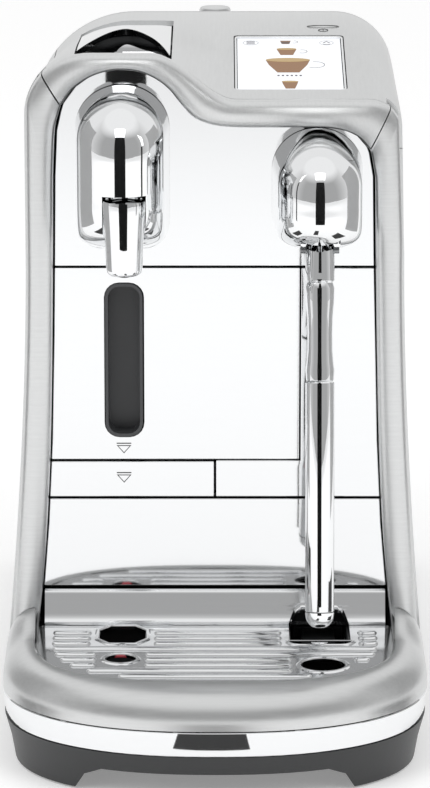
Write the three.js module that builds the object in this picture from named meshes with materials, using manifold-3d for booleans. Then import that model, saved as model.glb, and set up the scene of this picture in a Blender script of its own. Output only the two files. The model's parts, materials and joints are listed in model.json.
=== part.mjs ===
// Pod coffee machine: millimetres, X to the right, Y to the back, Z up, standing on Z = 0.
import * as THREE from "three";
import { mergeVertices } from "three/addons/utils/BufferGeometryUtils.js";
import Module from "manifold-3d";

const wasm = await Module();
wasm.setup();

// Driving dimensions
const WIDTH = 200;
const DEPTH = 420;
const HEIGHT = 328;
const GAP = 0.4;
const SHEET = 1.5;
const FOOT_CLEARANCE = 1;

// Heights of the base layers
const SKIRT_TOP = 22.4;
const PLINTH_TOP = 34.2;
const RING_BOTTOM = 34.8;
const GRID_TOP = 52;
const GRID_THICK = 1.4;
const RIDGE_TOP = 67.4;
const RIB_PITCH = 8.5;

// The front: one plane for the frame, one leaning plane for the mirror panels
const FRAME_FRONT = -100.3;
const FRAME_BACK = -86;
const PANEL_FRONT = -88.3;
const PANEL_LEAN = 0.021;
const PANEL_BOTTOM = 67.8;
const SHELF_BOTTOM = 112.2;
const BIN_BOTTOM = 130.5;
const BIN_TOP = 223.9;
const BIN_RIGHT = 40.4;

// The roof
const CREST_Y = 38;
const ROOF_FALL = 0.18;
const LOW_LIP = 24;
const SEAM_STEP = 6;
const SEAM_DROP = 0.2;
const SHOULDER = 1.6;
const SIDE_HEIGHTS = [50, 70, 100, 140, 190, 240];
const HEAD_BACK = 36;
const BODY_BACK = 116;

// Moving pieces
const LEVER_AXLE = { y: -8, z: 313.4, r: 2.2 };
const LEVER_SWEEP = 15;
const LEVER_TIP = -90;
const LEVER_NOTCH = -27;
const WELL_FRONT = -79;
const LEVER_LEFT = -64.6;
const LEVER_RIGHT = -21;
const WAND = { x: 48.4, y: -128, z: 238.5, r: 6.7, length: 172, tilt: 0.202, pivot: 2.4 };
const COFFEE_X = -43.5;
const STEAM_X = 48.1;
const FLOAT = { x: -44, y: -154, r: 3.3 };
const SENSOR = { x: 49.6, y: -117, r: 4.2 };
const TANK_FRONT = 120;
const TANK_HALF = 54;
const LID_DROP = 24.8;

const halfWidth = WIDTH / 2;
const front = -DEPTH / 2;
const back = DEPTH / 2;
const mid = halfWidth - 12;

const machine = new THREE.Group();

// ---------- helpers ----------

function material(color, roughness, metalness) {
  return new THREE.MeshStandardMaterial({ color, roughness, metalness });
}

function add(name, geometry, look, position = [0, 0, 0], rotation = [0, 0, 0]) {
  const mesh = new THREE.Mesh(geometry, look);
  mesh.name = name;
  mesh.position.set(...position);
  mesh.rotation.set(...rotation);
  machine.add(mesh);
  return mesh;
}

function toSolid(geometry) {
  const g = geometry.clone();
  g.deleteAttribute("normal");
  g.deleteAttribute("uv");
  const merged = mergeVertices(g, 1e-3);
  return new wasm.Manifold(new wasm.Mesh({
    numProp: 3,
    vertProperties: new Float32Array(merged.attributes.position.array),
    triVerts: new Uint32Array(merged.index.array),
  }));
}

function toGeometry(solid) {
  const mesh = solid.getMesh();
  const g = new THREE.BufferGeometry();
  g.setAttribute("position", new THREE.BufferAttribute(mesh.vertProperties, 3));
  g.setIndex(new THREE.BufferAttribute(mesh.triVerts, 1));
  const flat = g.toNonIndexed();
  flat.computeVertexNormals();
  return flat;
}

function subtract(geometry, ...cutters) {
  let solid = toSolid(geometry);
  for (const cutter of cutters) solid = solid.subtract(toSolid(cutter));
  return toGeometry(solid);
}

function join(geometry, ...others) {
  let solid = toSolid(geometry);
  for (const other of others) solid = solid.add(toSolid(other));
  return toGeometry(solid);
}

// A box given by its lower and upper limits.
function block(x0, x1, y0, y1, z0, z1) {
  const g = new THREE.BoxGeometry(x1 - x0, y1 - y0, z1 - z0);
  return g.translate((x0 + x1) / 2, (y0 + y1) / 2, (z0 + z1) / 2);
}

function rod(r, length, axis, [x, y, z], sides = 24, r2 = r) {
  const g = new THREE.CylinderGeometry(r2, r, length, sides);
  if (axis === "x") g.rotateZ(Math.PI / 2);
  if (axis === "z") g.rotateX(Math.PI / 2);
  return g.translate(x, y, z);
}

// A turned piece about the vertical axis from [radius, height] pairs, listed upwards on the outside.
function turned(profile, sides = 24) {
  const points = profile.map(([r, h]) => new THREE.Vector2(r, h));
  return new THREE.LatheGeometry(points, sides).rotateX(Math.PI / 2);
}

function roundedShape(x0, x1, z0, z1, r, steps = 5) {
  const shape = new THREE.Shape();
  const corners = [
    [x1 - r, z0 + r, -Math.PI / 2],
    [x1 - r, z1 - r, 0],
    [x0 + r, z1 - r, Math.PI / 2],
    [x0 + r, z0 + r, Math.PI],
  ];
  const points = [];
  for (const [cx, cz, start] of corners)
    for (let i = 0; i <= steps; i++) {
      const a = start + (i / steps) * (Math.PI / 2);
      points.push(new THREE.Vector2(cx + r * Math.cos(a), cz + r * Math.sin(a)));
    }
  shape.setFromPoints(points);
  return shape;
}

// A plate drawn in X and Z and thickened along Y from y0 to y1.
function upright(shape, y0, y1) {
  const g = new THREE.ExtrudeGeometry(shape, { depth: y1 - y0, bevelEnabled: false });
  return g.rotateX(Math.PI / 2).translate(0, y1, 0);
}

// A plate drawn in X and Y and thickened upwards from z0 to z1.
function slab(shape, z0, z1) {
  const g = new THREE.ExtrudeGeometry(shape, { depth: z1 - z0, bevelEnabled: false });
  return g.translate(0, 0, z0);
}

function pushTriangles(list, a, b, c, d) {
  list.push(a, b, c, a, c, d);
}

function orient(g) {
  const flat = g.toNonIndexed();
  const p = flat.attributes.position;
  let volume = 0;
  const v = [new THREE.Vector3(), new THREE.Vector3(), new THREE.Vector3()];
  for (let i = 0; i < p.count; i += 3) {
    for (let k = 0; k < 3; k++) v[k].fromBufferAttribute(p, i + k);
    volume += v[0].dot(v[1].cross(v[2]));
  }
  if (volume < 0)
    for (let i = 0; i < p.count; i += 3) {
      const keep = [p.getX(i), p.getY(i), p.getZ(i)];
      p.setXYZ(i, p.getX(i + 1), p.getY(i + 1), p.getZ(i + 1));
      p.setXYZ(i + 1, ...keep);
    }
  flat.computeVertexNormals();
  return flat;
}

// A closed wall between two grids of points with the same layout.
function wallBetween(outer, inner, closedRows = false) {
  const rows = outer.length;
  const cols = outer[0].length;
  const positions = [...outer.flat(), ...inner.flat()].flat();
  const id = (side, r, c) => side * rows * cols + (r % rows) * cols + c;
  const index = [];
  const rowSteps = closedRows ? rows : rows - 1;
  for (let r = 0; r < rowSteps; r++)
    for (let c = 0; c < cols - 1; c++) {
      pushTriangles(index, id(0, r, c), id(0, r + 1, c), id(0, r + 1, c + 1), id(0, r, c + 1));
      pushTriangles(index, id(1, r, c), id(1, r, c + 1), id(1, r + 1, c + 1), id(1, r + 1, c));
    }
  for (let r = 0; r < rowSteps; r++) {
    pushTriangles(index, id(0, r, 0), id(1, r, 0), id(1, r + 1, 0), id(0, r + 1, 0));
    const e = cols - 1;
    pushTriangles(index, id(0, r, e), id(0, r + 1, e), id(1, r + 1, e), id(1, r, e));
  }
  if (!closedRows)
    for (let c = 0; c < cols - 1; c++) {
      pushTriangles(index, id(0, 0, c), id(0, 0, c + 1), id(1, 0, c + 1), id(1, 0, c));
      const e = rows - 1;
      pushTriangles(index, id(0, e, c), id(1, e, c), id(1, e, c + 1), id(0, e, c + 1));
    }
  const g = new THREE.BufferGeometry();
  g.setAttribute("position", new THREE.Float32BufferAttribute(positions, 3));
  g.setIndex(index);
  return orient(g);
}

// A solid through a list of rings of points, closed by a fan at each end.
function loft(rings) {
  const n = rings[0].length;
  const positions = rings.flat(2);
  const index = [];
  for (let r = 0; r < rings.length - 1; r++)
    for (let i = 0; i < n; i++) {
      const j = (i + 1) % n;
      pushTriangles(index, r * n + i, r * n + j, (r + 1) * n + j, (r + 1) * n + i);
    }
  const ends = [[rings[0], 0, true], [rings.at(-1), (rings.length - 1) * n, false]];
  for (const [ring, start, flip] of ends) {
    const centre = [0, 1, 2].map((k) => ring.reduce((s, p) => s + p[k], 0) / n);
    const c = positions.length / 3;
    positions.push(...centre);
    for (let i = 0; i < n; i++) {
      const j = (i + 1) % n;
      if (flip) index.push(c, start + j, start + i);
      else index.push(c, start + i, start + j);
    }
  }
  const g = new THREE.BufferGeometry();
  g.setAttribute("position", new THREE.Float32BufferAttribute(positions, 3));
  g.setIndex(index);
  return orient(g);
}

function smooth(t) {
  const u = Math.min(1, Math.max(0, t));
  return u * u * (3 - 2 * u);
}

function mix(a, b, t) {
  return a + (b - a) * t;
}

// ---------- shared surfaces ----------

// Plan outline of the base, inset all round, as a closed ring at one height.
function planRing(z, inset, sideInset = inset, count = 18) {
  const hw = halfWidth - sideInset;
  const yc = front + 80;
  const reach = 80 - inset;
  const ring = [];
  for (let i = 0; i <= count * 2; i++) {
    const a = (i / (count * 2)) * Math.PI;
    const c = Math.cos(a);
    const s = Math.sin(a);
    const k = Math.pow(Math.pow(Math.abs(c), 2.3) + Math.pow(s, 2.3), -1 / 2.3);
    ring.push([-hw * c * k, yc - reach * s * k, z]);
  }
  const rear = halfWidth - 3.2 - sideInset;
  const r = 22;
  const yb = back - 3 - inset;
  ring.push([hw, yc + 20, z]);
  ring.push([rear, yc + 90, z]);
  for (let i = 0; i <= 6; i++) {
    const a = (i / 6) * (Math.PI / 2);
    ring.push([rear - r + r * Math.cos(a), yb - r + r * Math.sin(a), z]);
  }
  for (let i = 0; i <= 6; i++) {
    const a = Math.PI / 2 + (i / 6) * (Math.PI / 2);
    ring.push([-(rear - r) + r * Math.cos(a), yb - r + r * Math.sin(a), z]);
  }
  ring.push([-rear, yc + 90, z]);
  ring.push([-hw, yc + 20, z]);
  return ring;
}

// Half-width of the frame and the body at a height.
function sideAt(z) {
  const low = Math.max(0, (HEIGHT * 0.7 - z) / (HEIGHT * 0.7 - 48));
  return mid + 9.4 * Math.pow(low, 1.7);
}

// The roof height over the machine, with the low lip under the display blending up to the lever side.
function roofAt(x, y) {
  const slope = Math.tan(THREE.MathUtils.degToRad(12.2));
  const crest = HEIGHT;
  const highSide = crest - 0.6 * smooth((CREST_Y - y) / 100);
  const line = crest - LOW_LIP + slope * (y - FRAME_FRONT);
  const soften = 5;
  const h = Math.max(soften - Math.abs(line - crest), 0) / soften;
  const lowSide = Math.min(line, crest) - (h * h * soften) / 4;
  const blend = smooth((x + 30) / 40);
  const base = y > CREST_Y ? crest : mix(highSide, lowSide, blend);
  const fall = Math.max(0, y - CREST_Y);
  return base - ROOF_FALL * fall * smooth(fall / 12 + 0.4);
}

function cornerAt(y, isLeft) {
  const t = smooth((y - FRAME_FRONT) / 120);
  return isLeft ? mix(30, 50, t) : mix(15, 29, t);
}

// The outer section of the body at one depth, from the lower left over the roof to the lower right.
function bodySection(y, inset, zLow, fine = 1) {
  const points = [];
  const grow = 1.4 * smooth((y - FRAME_FRONT) / 16);
  const sides = [zLow, ...SIDE_HEIGHTS];
  const rl = cornerAt(y, true) - inset;
  const rr = cornerAt(y, false) - inset;
  const xl = -(mid + grow - inset);
  const xr = mid - 1.6 + grow - inset;
  const topLeft = roofAt(xl + rl, y) - inset;
  const topRight = roofAt(xr - rr, y) - inset;
  for (const z of sides) points.push([-(sideAt(z) + grow - inset), y, z]);
  const n = 7 * fine;
  for (let i = 0; i <= n; i++) {
    const a = (i / n) * (Math.PI / 2);
    points.push([xl + rl - rl * Math.cos(a), y, topLeft - rl + rl * Math.sin(a)]);
  }
  const m = 14 * fine;
  for (let i = 1; i < m; i++) {
    const x = mix(xl + rl, xr - rr, i / m);
    points.push([x, y, roofAt(x, y) - inset]);
  }
  for (let i = 0; i <= n; i++) {
    const a = Math.PI / 2 - (i / n) * (Math.PI / 2);
    points.push([xr - rr + rr * Math.cos(a), y, topRight - rr + rr * Math.sin(a)]);
  }
  for (const z of [...sides].reverse())
    points.push([sideAt(z) - (1.6 * Math.max(0, z - 230)) / 40 + grow - inset, y, z]);
  return points;
}

// Points along the frame from the foot of the left post to the foot of the right one:
// the inner edge in X and Z, and the X of the outer edge where the roof section gives its height.
const LEFT_POST = [[-84.6, 48], [-82.6, 70], [-80.2, 100], [-78.2, 140], [-77, 190], [-76.3, 240]];
const RIGHT_POST = [[75.6, 240], [76.6, 190], [78, 140], [80, 100], [82.6, 70], [84.6, 48]];
const LEFT_CORNER = [[-76, 268, -87.8], [-75, 290, -86.6], [-73, 299, -83.6], [-71.9, 302.7, -80.9]];
const HEAD_EDGE = [
  [-71.5, 303.4, -80.4], [-66, 310.9, -72.5], [-58, 316.4, -62], [-50, 319.2, -52], [-43.7, 319.9, -43.7],
  [-36, 319.1, -34], [-28, 315.8, -23], [-21.5, 310.8, -14], [-16, 304, -8], [-10.5, 298, -2],
  [-4, 294.8, 3], [4, 293.3, 9], [14, 292.8, 16], [28, 292.8, 28.5], [42, 292.8, 43], [52.5, 292.6, 55],
  [61, 291, 67], [67.5, 287.6, 76], [72, 282.4, 81.6],
];
const RIGHT_CORNER = [[72.3, 281.8, 82], [73.2, 279.4, 83.4], [75.2, 268, 85.6]];

// ---------- base ----------

function buildBase() {
  const plastic = material("#3f4041", 0.5, 0.0);
  const outer = loft([
    planRing(FOOT_CLEARANCE, 8, 5.5),
    planRing(12, 4.5, 3.6),
    planRing(SKIRT_TOP, 0.8, 0.8),
  ]);
  const plinth = loft([planRing(SKIRT_TOP - 1, 4), planRing(PLINTH_TOP, 4)]);
  const hollow = loft([planRing(-1, 12), planRing(PLINTH_TOP - 3, 12)]);
  const frontArch = archCutter(60, 13, front - 5, front + 70);
  const sideArch = archCutter(95, 9, -halfWidth - 5, halfWidth + 5).rotateZ(Math.PI / 2);
  sideArch.translate(0, 15, 0);
  const rearArch = archCutter(50, 9, back - 60, back + 5);
  const glandHole = rod(4.6, 30, "y", [60, back - 10, 17]);
  const shell = subtract(join(outer, plinth), hollow, frontArch, sideArch, rearArch, glandHole);
  const bosses = [];
  for (const [x, y] of footPlaces()) bosses.push(rod(12, 30, "z", [x, y, 17], 20));
  const holes = footPlaces().map(([x, y]) => rod(10.4, 6, "z", [x, y, 1.2], 20));
  add("base_chassis", subtract(join(shell, ...bosses), ...holes), plastic);

  const steel = material("#d9dadb", 0.12, 1.0);
  const bandOut = loft([planRing(SKIRT_TOP + 0.3, 0.8, 1.6), planRing(PLINTH_TOP + 0.2, 0, 0)]);
  const bandIn = loft([planRing(SKIRT_TOP - 1, 3.5), planRing(PLINTH_TOP + 2, 3.5)]);
  add("base_trim_band", subtract(bandOut, bandIn), steel);

  const rubber = material("#1d1d1e", 0.85, 0.0);
  const footNames = ["foot_front_left", "foot_front_right", "foot_rear_left", "foot_rear_right"];
  footPlaces().forEach(([x, y], i) => {
    add(footNames[i], turned([[0, 0], [9, 0], [10, 1], [10, 3.9], [0, 3.9]], 20), rubber, [x, y, 0]);
  });

  const gland = turned([[2.8, -6], [4.3, -6], [4.3, 3], [7, 3], [6.4, 5.8], [2.8, 5.8], [2.8, -6]], 20);
  gland.rotateX(-Math.PI / 2);
  add("cord_gland", gland, rubber, [60, back - 5.8, 17]);
}

function footPlaces() {
  return [[-72, -158], [72, -158], [-72, 178], [72, 178]];
}

// A low cutter with sloped ends, along Y, that opens a skirt from below.
function archCutter(half, top, y0, y1) {
  const shape = new THREE.Shape();
  shape.setFromPoints([
    new THREE.Vector2(-half - 6, -2),
    new THREE.Vector2(half + 6, -2),
    new THREE.Vector2(half, top * 0.7),
    new THREE.Vector2(half - 8, top),
    new THREE.Vector2(-half + 8, top),
    new THREE.Vector2(-half, top * 0.7),
  ]);
  return upright(shape, y0, y1);
}

// ---------- frame, body and panels ----------

// One closed section of a frame bar between its inner and outer points.
function barRing([xi, zi], [xo, zo]) {
  const depths = [
    [0, FRAME_BACK], [0, FRAME_FRONT + 4.5], [0.06, FRAME_FRONT + 1.6], [0.22, FRAME_FRONT + 0.3],
    [0.5, FRAME_FRONT], [0.76, FRAME_FRONT + 0.9], [0.94, FRAME_FRONT + 3.6], [1, FRAME_FRONT + 7],
    [1, FRAME_BACK],
  ];
  return depths.map(([t, y]) => [mix(xi, xo, t), y, mix(zi, zo, t)]);
}

function onSection(section, x) {
  const upper = section.filter(([, , z]) => z > 235);
  for (let i = 0; i < upper.length - 1; i++) {
    const [a, b] = [upper[i], upper[i + 1]];
    if (a[0] <= x && x <= b[0] && b[0] > a[0]) return mix(a[2], b[2], (x - a[0]) / (b[0] - a[0]));
  }
  return upper[0][2];
}

function cornerRing([xi, zi, xo]) {
  const section = bodySection(FRAME_FRONT + 7, 0, 50, 2);
  const half = section.slice(0, Math.floor(section.length / 2));
  const side = xo < 0 ? half : section.slice(Math.floor(section.length / 2));
  return barRing([xi, zi], [xo, onSection(side, xo)]);
}

function buildFrame() {
  const brushed = material("#b9babb", 0.35, 1.0);
  const postRing = ([x, z]) => barRing([x, z], [Math.sign(x) * sideAt(z), z]);
  const footLeft = postRing([-86, RING_BOTTOM + GAP]);
  const footRight = postRing([86, RING_BOTTOM + GAP]);
  const leftRings = [footLeft, ...LEFT_POST.map(postRing), ...LEFT_CORNER.map(cornerRing)];
  const rightRings = [...RIGHT_CORNER.map(cornerRing), ...RIGHT_POST.map(postRing), footRight];
  add("frame_post_left", loft(leftRings), brushed);
  add("frame_post_right", loft(rightRings), brushed);

  const headLook = material("#c4c5c6", 0.33, 1.0);
  const band = loft(HEAD_EDGE.map(cornerRing));
  const depths = [FRAME_FRONT + 8, FRAME_BACK + GAP, -75, -55, -35, -15, 5, 20, HEAD_BACK];
  const skin = wallBetween(depths.map((y) => roofPart(y, 0.05)), depths.map((y) => roofPart(y, 2.4)));
  const ends = [
    block(-95, HEAD_EDGE[0][2] + SHOULDER, FRAME_FRONT - 10, FRAME_BACK + GAP, 250, HEIGHT),
    block(HEAD_EDGE.at(-1)[2] - SHOULDER, 95, FRAME_FRONT - 10, FRAME_BACK + GAP, 250, HEIGHT),
  ];
  const cutters = [leverOpening(), displayRecess(GAP), powerSlot(GAP)];
  add("head_fascia", subtract(join(band, subtract(skin, ...ends)), ...cutters), headLook);
}

// The part of a section that the head covers, from the left shoulder over the roof to the right side.
function roofPart(y, inset) {
  const section = bodySection(y, inset, 50, 2);
  const sides = SIDE_HEIGHTS.length + 1;
  const first = sides + SEAM_STEP;
  const last = section.length - sides;
  const end = section[last - 1].map((value, i) => mix(value, section[last][i], SEAM_DROP));
  return [...section.slice(first, last), end];
}

// The outline that leaves room for the head in the body shell at depth y.
function headRoom(y) {
  const part = roofPart(y, 0);
  const left = part[0];
  const right = part.at(-1);
  const top = HEIGHT + 10;
  return [
    [left[0] - GAP, y, left[2] - 9], [left[0] - GAP, y, top], [right[0] + 20, y, top],
    [right[0] + 20, y, right[2] - GAP], [right[0] - 20, y, right[2] - GAP],
  ];
}

function buildBody() {
  const brushed = material("#a9aaab", 0.38, 1.0);
  const depths = [FRAME_BACK + GAP, -60, -30, 0, 24, CREST_Y, 50, 80, BODY_BACK];
  const outer = depths.map((y) => bodySection(y, 0, RING_BOTTOM + GAP));
  const inner = depths.map((y) => bodySection(y, SHEET, RING_BOTTOM + GAP));
  const opening = loft([-110, ...depths.filter((y) => y < HEAD_BACK), HEAD_BACK + GAP].map(headRoom));
  const lowSide = block(-20, 76, -110, -20, 285, 300);
  add("body_shell", subtract(wallBetween(outer, inner), opening, lowSide), brushed);

  const plastic = material("#2c2d2e", 0.55, 0.0);
  const rear = bodySection(BODY_BACK - 4, SHEET + GAP, PLINTH_TOP + GAP);
  const rearTo = rear.map(([x, , z]) => [x, BODY_BACK - 2, z]);
  add("rear_cover", loft([rear, rearTo]), plastic);
  const bulkhead = block(-80, 80, -78, -76, PLINTH_TOP + GAP, 110);
  add("front_bulkhead", subtract(bulkhead, block(36, 63, -80, -74, 34, 46)), plastic);
}

// ---------- mirror panels, bin and shelf ----------

// Turns a flat upright plate at Y = 0 to the lean of the panels.
function leaning(geometry) {
  const shear = new THREE.Matrix4().makeShear(0, 0, 0, 0, 0, PANEL_LEAN);
  return geometry.applyMatrix4(shear).translate(0, PANEL_FRONT - PANEL_LEAN * PANEL_BOTTOM, 0);
}

function shapeOf(points) {
  const shape = new THREE.Shape();
  shape.setFromPoints(points.map(([x, z]) => new THREE.Vector2(x, z)));
  return shape;
}

function innerX(z, side) {
  const post = side < 0 ? LEFT_POST : [...RIGHT_POST].reverse();
  for (let i = 0; i < post.length - 1; i++) {
    const [a, b] = [post[i], post[i + 1]];
    if (a[1] <= z && z <= b[1]) return mix(a[0], b[0], (z - a[1]) / (b[1] - a[1])) - side * GAP;
  }
  return 0;
}

function buildPanels() {
  const mirror = material("#eef0f1", 0.05, 1.0);
  const top = BIN_TOP + GAP;
  const edge = [...LEFT_CORNER, ...HEAD_EDGE, ...RIGHT_CORNER];
  const upper = [[innerX(top, -1), top]];
  for (const [x, z] of edge) {
    const dx = x < -60 ? GAP : x > 60 ? -GAP : 0;
    upper.push([x + dx, z - 1.6 * GAP]);
  }
  upper.push([innerX(top, 1), top]);
  const upperPlate = leaning(upright(shapeOf(upper.reverse()), 0, SHEET));
  add("upper_front_panel", upperPlate, mirror);

  const column = BIN_RIGHT + GAP;
  const lowGap = BIN_BOTTOM - GAP;
  const l = [
    [GAP / 2, SHELF_BOTTOM], [innerX(SHELF_BOTTOM, 1), SHELF_BOTTOM], [innerX(140, 1), 140],
    [innerX(190, 1), 190], [innerX(BIN_TOP, 1), BIN_TOP], [column, BIN_TOP], [column, lowGap], [GAP / 2, lowGap],
  ];
  add("wand_panel", leaning(upright(shapeOf(l), 0, SHEET)), mirror);
  const foot = SHELF_BOTTOM - GAP;
  const lower = [
    [innerX(PANEL_BOTTOM, -1), PANEL_BOTTOM + GAP], [innerX(PANEL_BOTTOM, 1), PANEL_BOTTOM + GAP],
    [innerX(100, 1), 100], [innerX(foot, 1), foot], [innerX(foot, -1), foot], [innerX(100, -1), 100],
  ];
  add("lower_front_panel", leaning(upright(shapeOf(lower), 0, SHEET)), mirror);

  const binFace = [
    [innerX(BIN_BOTTOM, -1), BIN_BOTTOM], [BIN_RIGHT, BIN_BOTTOM], [BIN_RIGHT, BIN_TOP], [innerX(BIN_TOP, -1), BIN_TOP],
    [innerX(190, -1), 190], [innerX(140, -1), 140],
  ];
  const pill = upright(roundedShape(-52.5, -33.9, 141.7, 216.6, 7), -1, 4);
  add("capsule_bin_front", subtract(leaning(upright(shapeOf(binFace), 0, SHEET)), leaning(pill)), mirror);
  const dark = material("#454647", 0.45, 0.0);
  const cup = upright(roundedShape(-52.1, -34.3, 142.1, 216.2, 6.6), -0.6, 13);
  const inside = upright(roundedShape(-50.7, -35.7, 143.5, 214.8, 5.4), -2, 11.5);
  add("capsule_bin_grip", leaning(subtract(cup, inside)), dark);

  const bin = block(-70, 34, -83, 40, 134, 219);
  const binInside = block(-68, 32, -81, 38, 136, 225);
  const gripClear = block(-53.5, -32.9, -86, -68, 140, 218);
  const front = block(-55.5, -30.9, -83, -66, 138, 219);
  const tub = subtract(join(subtract(bin, binInside), front), gripClear);
  add("capsule_bin_tub", tub, material("#2b2c2d", 0.5, 0.0));

  const stripTop = BIN_BOTTOM - GAP;
  const strip = [
    [innerX(SHELF_BOTTOM, -1), SHELF_BOTTOM], [-GAP / 2, SHELF_BOTTOM], [-GAP / 2, stripTop], [innerX(stripTop, -1), stripTop],
  ];
  add("cup_shelf_front", leaning(upright(shapeOf(strip), 0, SHEET)), mirror);
  const plate = block(-74, -6, -84.2, 4, 115, 117);
  const slots = [];
  for (let i = 0; i < 7; i++) slots.push(block(-68, -12, -76 + i * 11, -72 + i * 11, 110, 120));
  const lip = block(-74, -6, -84.2, -82.2, 114, 128);
  add("cup_shelf_tray", subtract(join(plate, lip), ...slots), material("#3a3b3c", 0.5, 0.0));
}

// ---------- coffee and steam heads ----------

// A half-capsule dome that grows out of the panels: [x half-width, lower z, upper z, y] for each ring.
function dome(stations, x, steps = 7) {
  const rings = stations.map(([hw, z0, z1, r, y]) => {
    const ring = [];
    const corners = [[1, z0, -90], [1, z1, 0], [-1, z1, 90], [-1, z0, 180]];
    for (const [side, z, start] of corners) {
      const up = z === z1;
      const rad = up ? hw : r;
      for (let i = 0; i <= steps; i++) {
        const a = THREE.MathUtils.degToRad(start + (90 * i) / steps);
        const cx = x + side * (hw - rad);
        const cz = up ? z - rad : z + rad;
        ring.push([cx + rad * Math.cos(a), y, cz + rad * Math.sin(a)]);
      }
    }
    return ring;
  });
  return loft(rings);
}

function buildHeads() {
  const chrome = material("#e2e3e4", 0.06, 1.0);
  const panel = (z) => PANEL_FRONT + PANEL_LEAN * (z - PANEL_BOTTOM) - GAP;
  const y0 = panel(232);
  const coffee = [
    [22.2, 233, 311, 12, y0], [21.2, 235, 311, 12, y0 - 8], [20.4, 239, 311, 12, y0 - 26],
    [19.6, 242, 309, 12, y0 - 40], [17.6, 245, 305, 11, y0 - 48], [13.6, 250, 299, 8, y0 - 53], [7, 258, 289, 5, y0 - 55.4],
  ];
  const spoutHole = rod(10.6, 60, "z", [-41.6, -146 + 8, 238], 24);
  add("coffee_head", subtract(dome(coffee, COFFEE_X), spoutHole), chrome);
  const spout = turned([
    [3.2, 0], [7.4, 0], [8.2, 1.2], [8.8, 14], [9.6, 26], [9.9, 34], [3.2, 35], [3.2, 0],
  ], 28);
  add("coffee_spout", spout, chrome, [-41.6, -138, 231.8]);
  const nozzle = turned([[1.2, 0], [2.8, 0], [2.8, 10], [1.2, 10], [1.2, 0]], 16);
  add("spout_nozzle", nozzle, material("#3b3b3c", 0.5, 0.0), [-41.6, -138, 230.6]);

  const s0 = panel(236);
  const steam = [
    [21, 238, 290.6, 14, s0], [20.2, 239, 290.4, 14, s0 - 12], [19.4, 240, 289.4, 14, s0 - 32],
    [18.4, 241.5, 287, 14, s0 - 46], [16, 244, 283, 12, s0 - 55], [11.6, 249, 277, 9, s0 - 60.4], [6, 255, 269, 4, s0 - 63],
  ];
  const reach = WAND.r + 2.4;
  const pocket = block(WAND.x - reach, WAND.x + reach, WAND.y - 13.6, WAND.y + 11.4, 226, 254);
  add("steam_head", subtract(dome(steam, STEAM_X), pocket), chrome);
}

// The wand group hangs from its pivot and tilts with it.
function wandPart(name, geometry, look) {
  add(name, geometry, look, [WAND.x, WAND.y, WAND.z], [-WAND.tilt, 0, 0]);
}

function buildWand() {
  const chrome = material("#dfe0e1", 0.08, 1.0);
  const r = WAND.r;
  const end = -WAND.length;
  const collar = turned([[0, -12], [r, -12], [r, 4], [r - 1.4, 7], [0, 8.5]], 28);
  wandPart("wand_joint", subtract(collar, rod(1.6, 20, "x", [0, 0, WAND.pivot], 16)), chrome);
  const grip = turned([[0, -58], [r - 0.4, -58], [r, -44], [r + 0.1, -26], [r, -14], [r - 1, -12.4], [0, -12.4]], 28);
  const flat = block(-5, 5, -10, -r + 1.1, -50, -20);
  wandPart("wand_grip", subtract(grip, flat), material("#3b3c3d", 0.3, 0.6));
  const tube = turned([[0, end + 7.4], [r, end + 7.4], [r, -58.4], [0, -58.4]], 28);
  wandPart("steam_wand", tube, chrome);
  const tip = turned([[0, end], [2.6, end], [5, end + 1.6], [6.4, end + 4.4], [r, end + 7], [0, end + 7]], 28);
  const bore = rod(1.1, 10, "z", [0, 0, end - 3.5], 12);
  wandPart("wand_tip", subtract(tip, bore), chrome);
  const pin = rod(1.5, 2 * r + 4.4, "x", [0, 0, WAND.pivot], 16);
  wandPart("wand_pivot", pin, material("#8b8c8d", 0.3, 1.0));
}

// ---------- roof pieces ----------

function leverFront(x) {
  const half = (LEVER_RIGHT - LEVER_LEFT) / 2;
  const u = (x - (LEVER_LEFT + LEVER_RIGHT) / 2) / half;
  return mix(LEVER_NOTCH, LEVER_TIP, Math.pow(Math.abs(u), 1.7));
}

function leverOpening() {
  const [x0, x1] = [LEVER_LEFT - 0.8, LEVER_RIGHT + 0.8];
  const deep = block(x0, x1, WELL_FRONT, LEVER_AXLE.y + LEVER_SWEEP, 305, HEIGHT + 12);
  const overBar = block(x0, x1, LEVER_TIP - 3, WELL_FRONT + 1, HEIGHT - 6, HEIGHT + 12);
  return join(deep, overBar);
}

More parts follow.
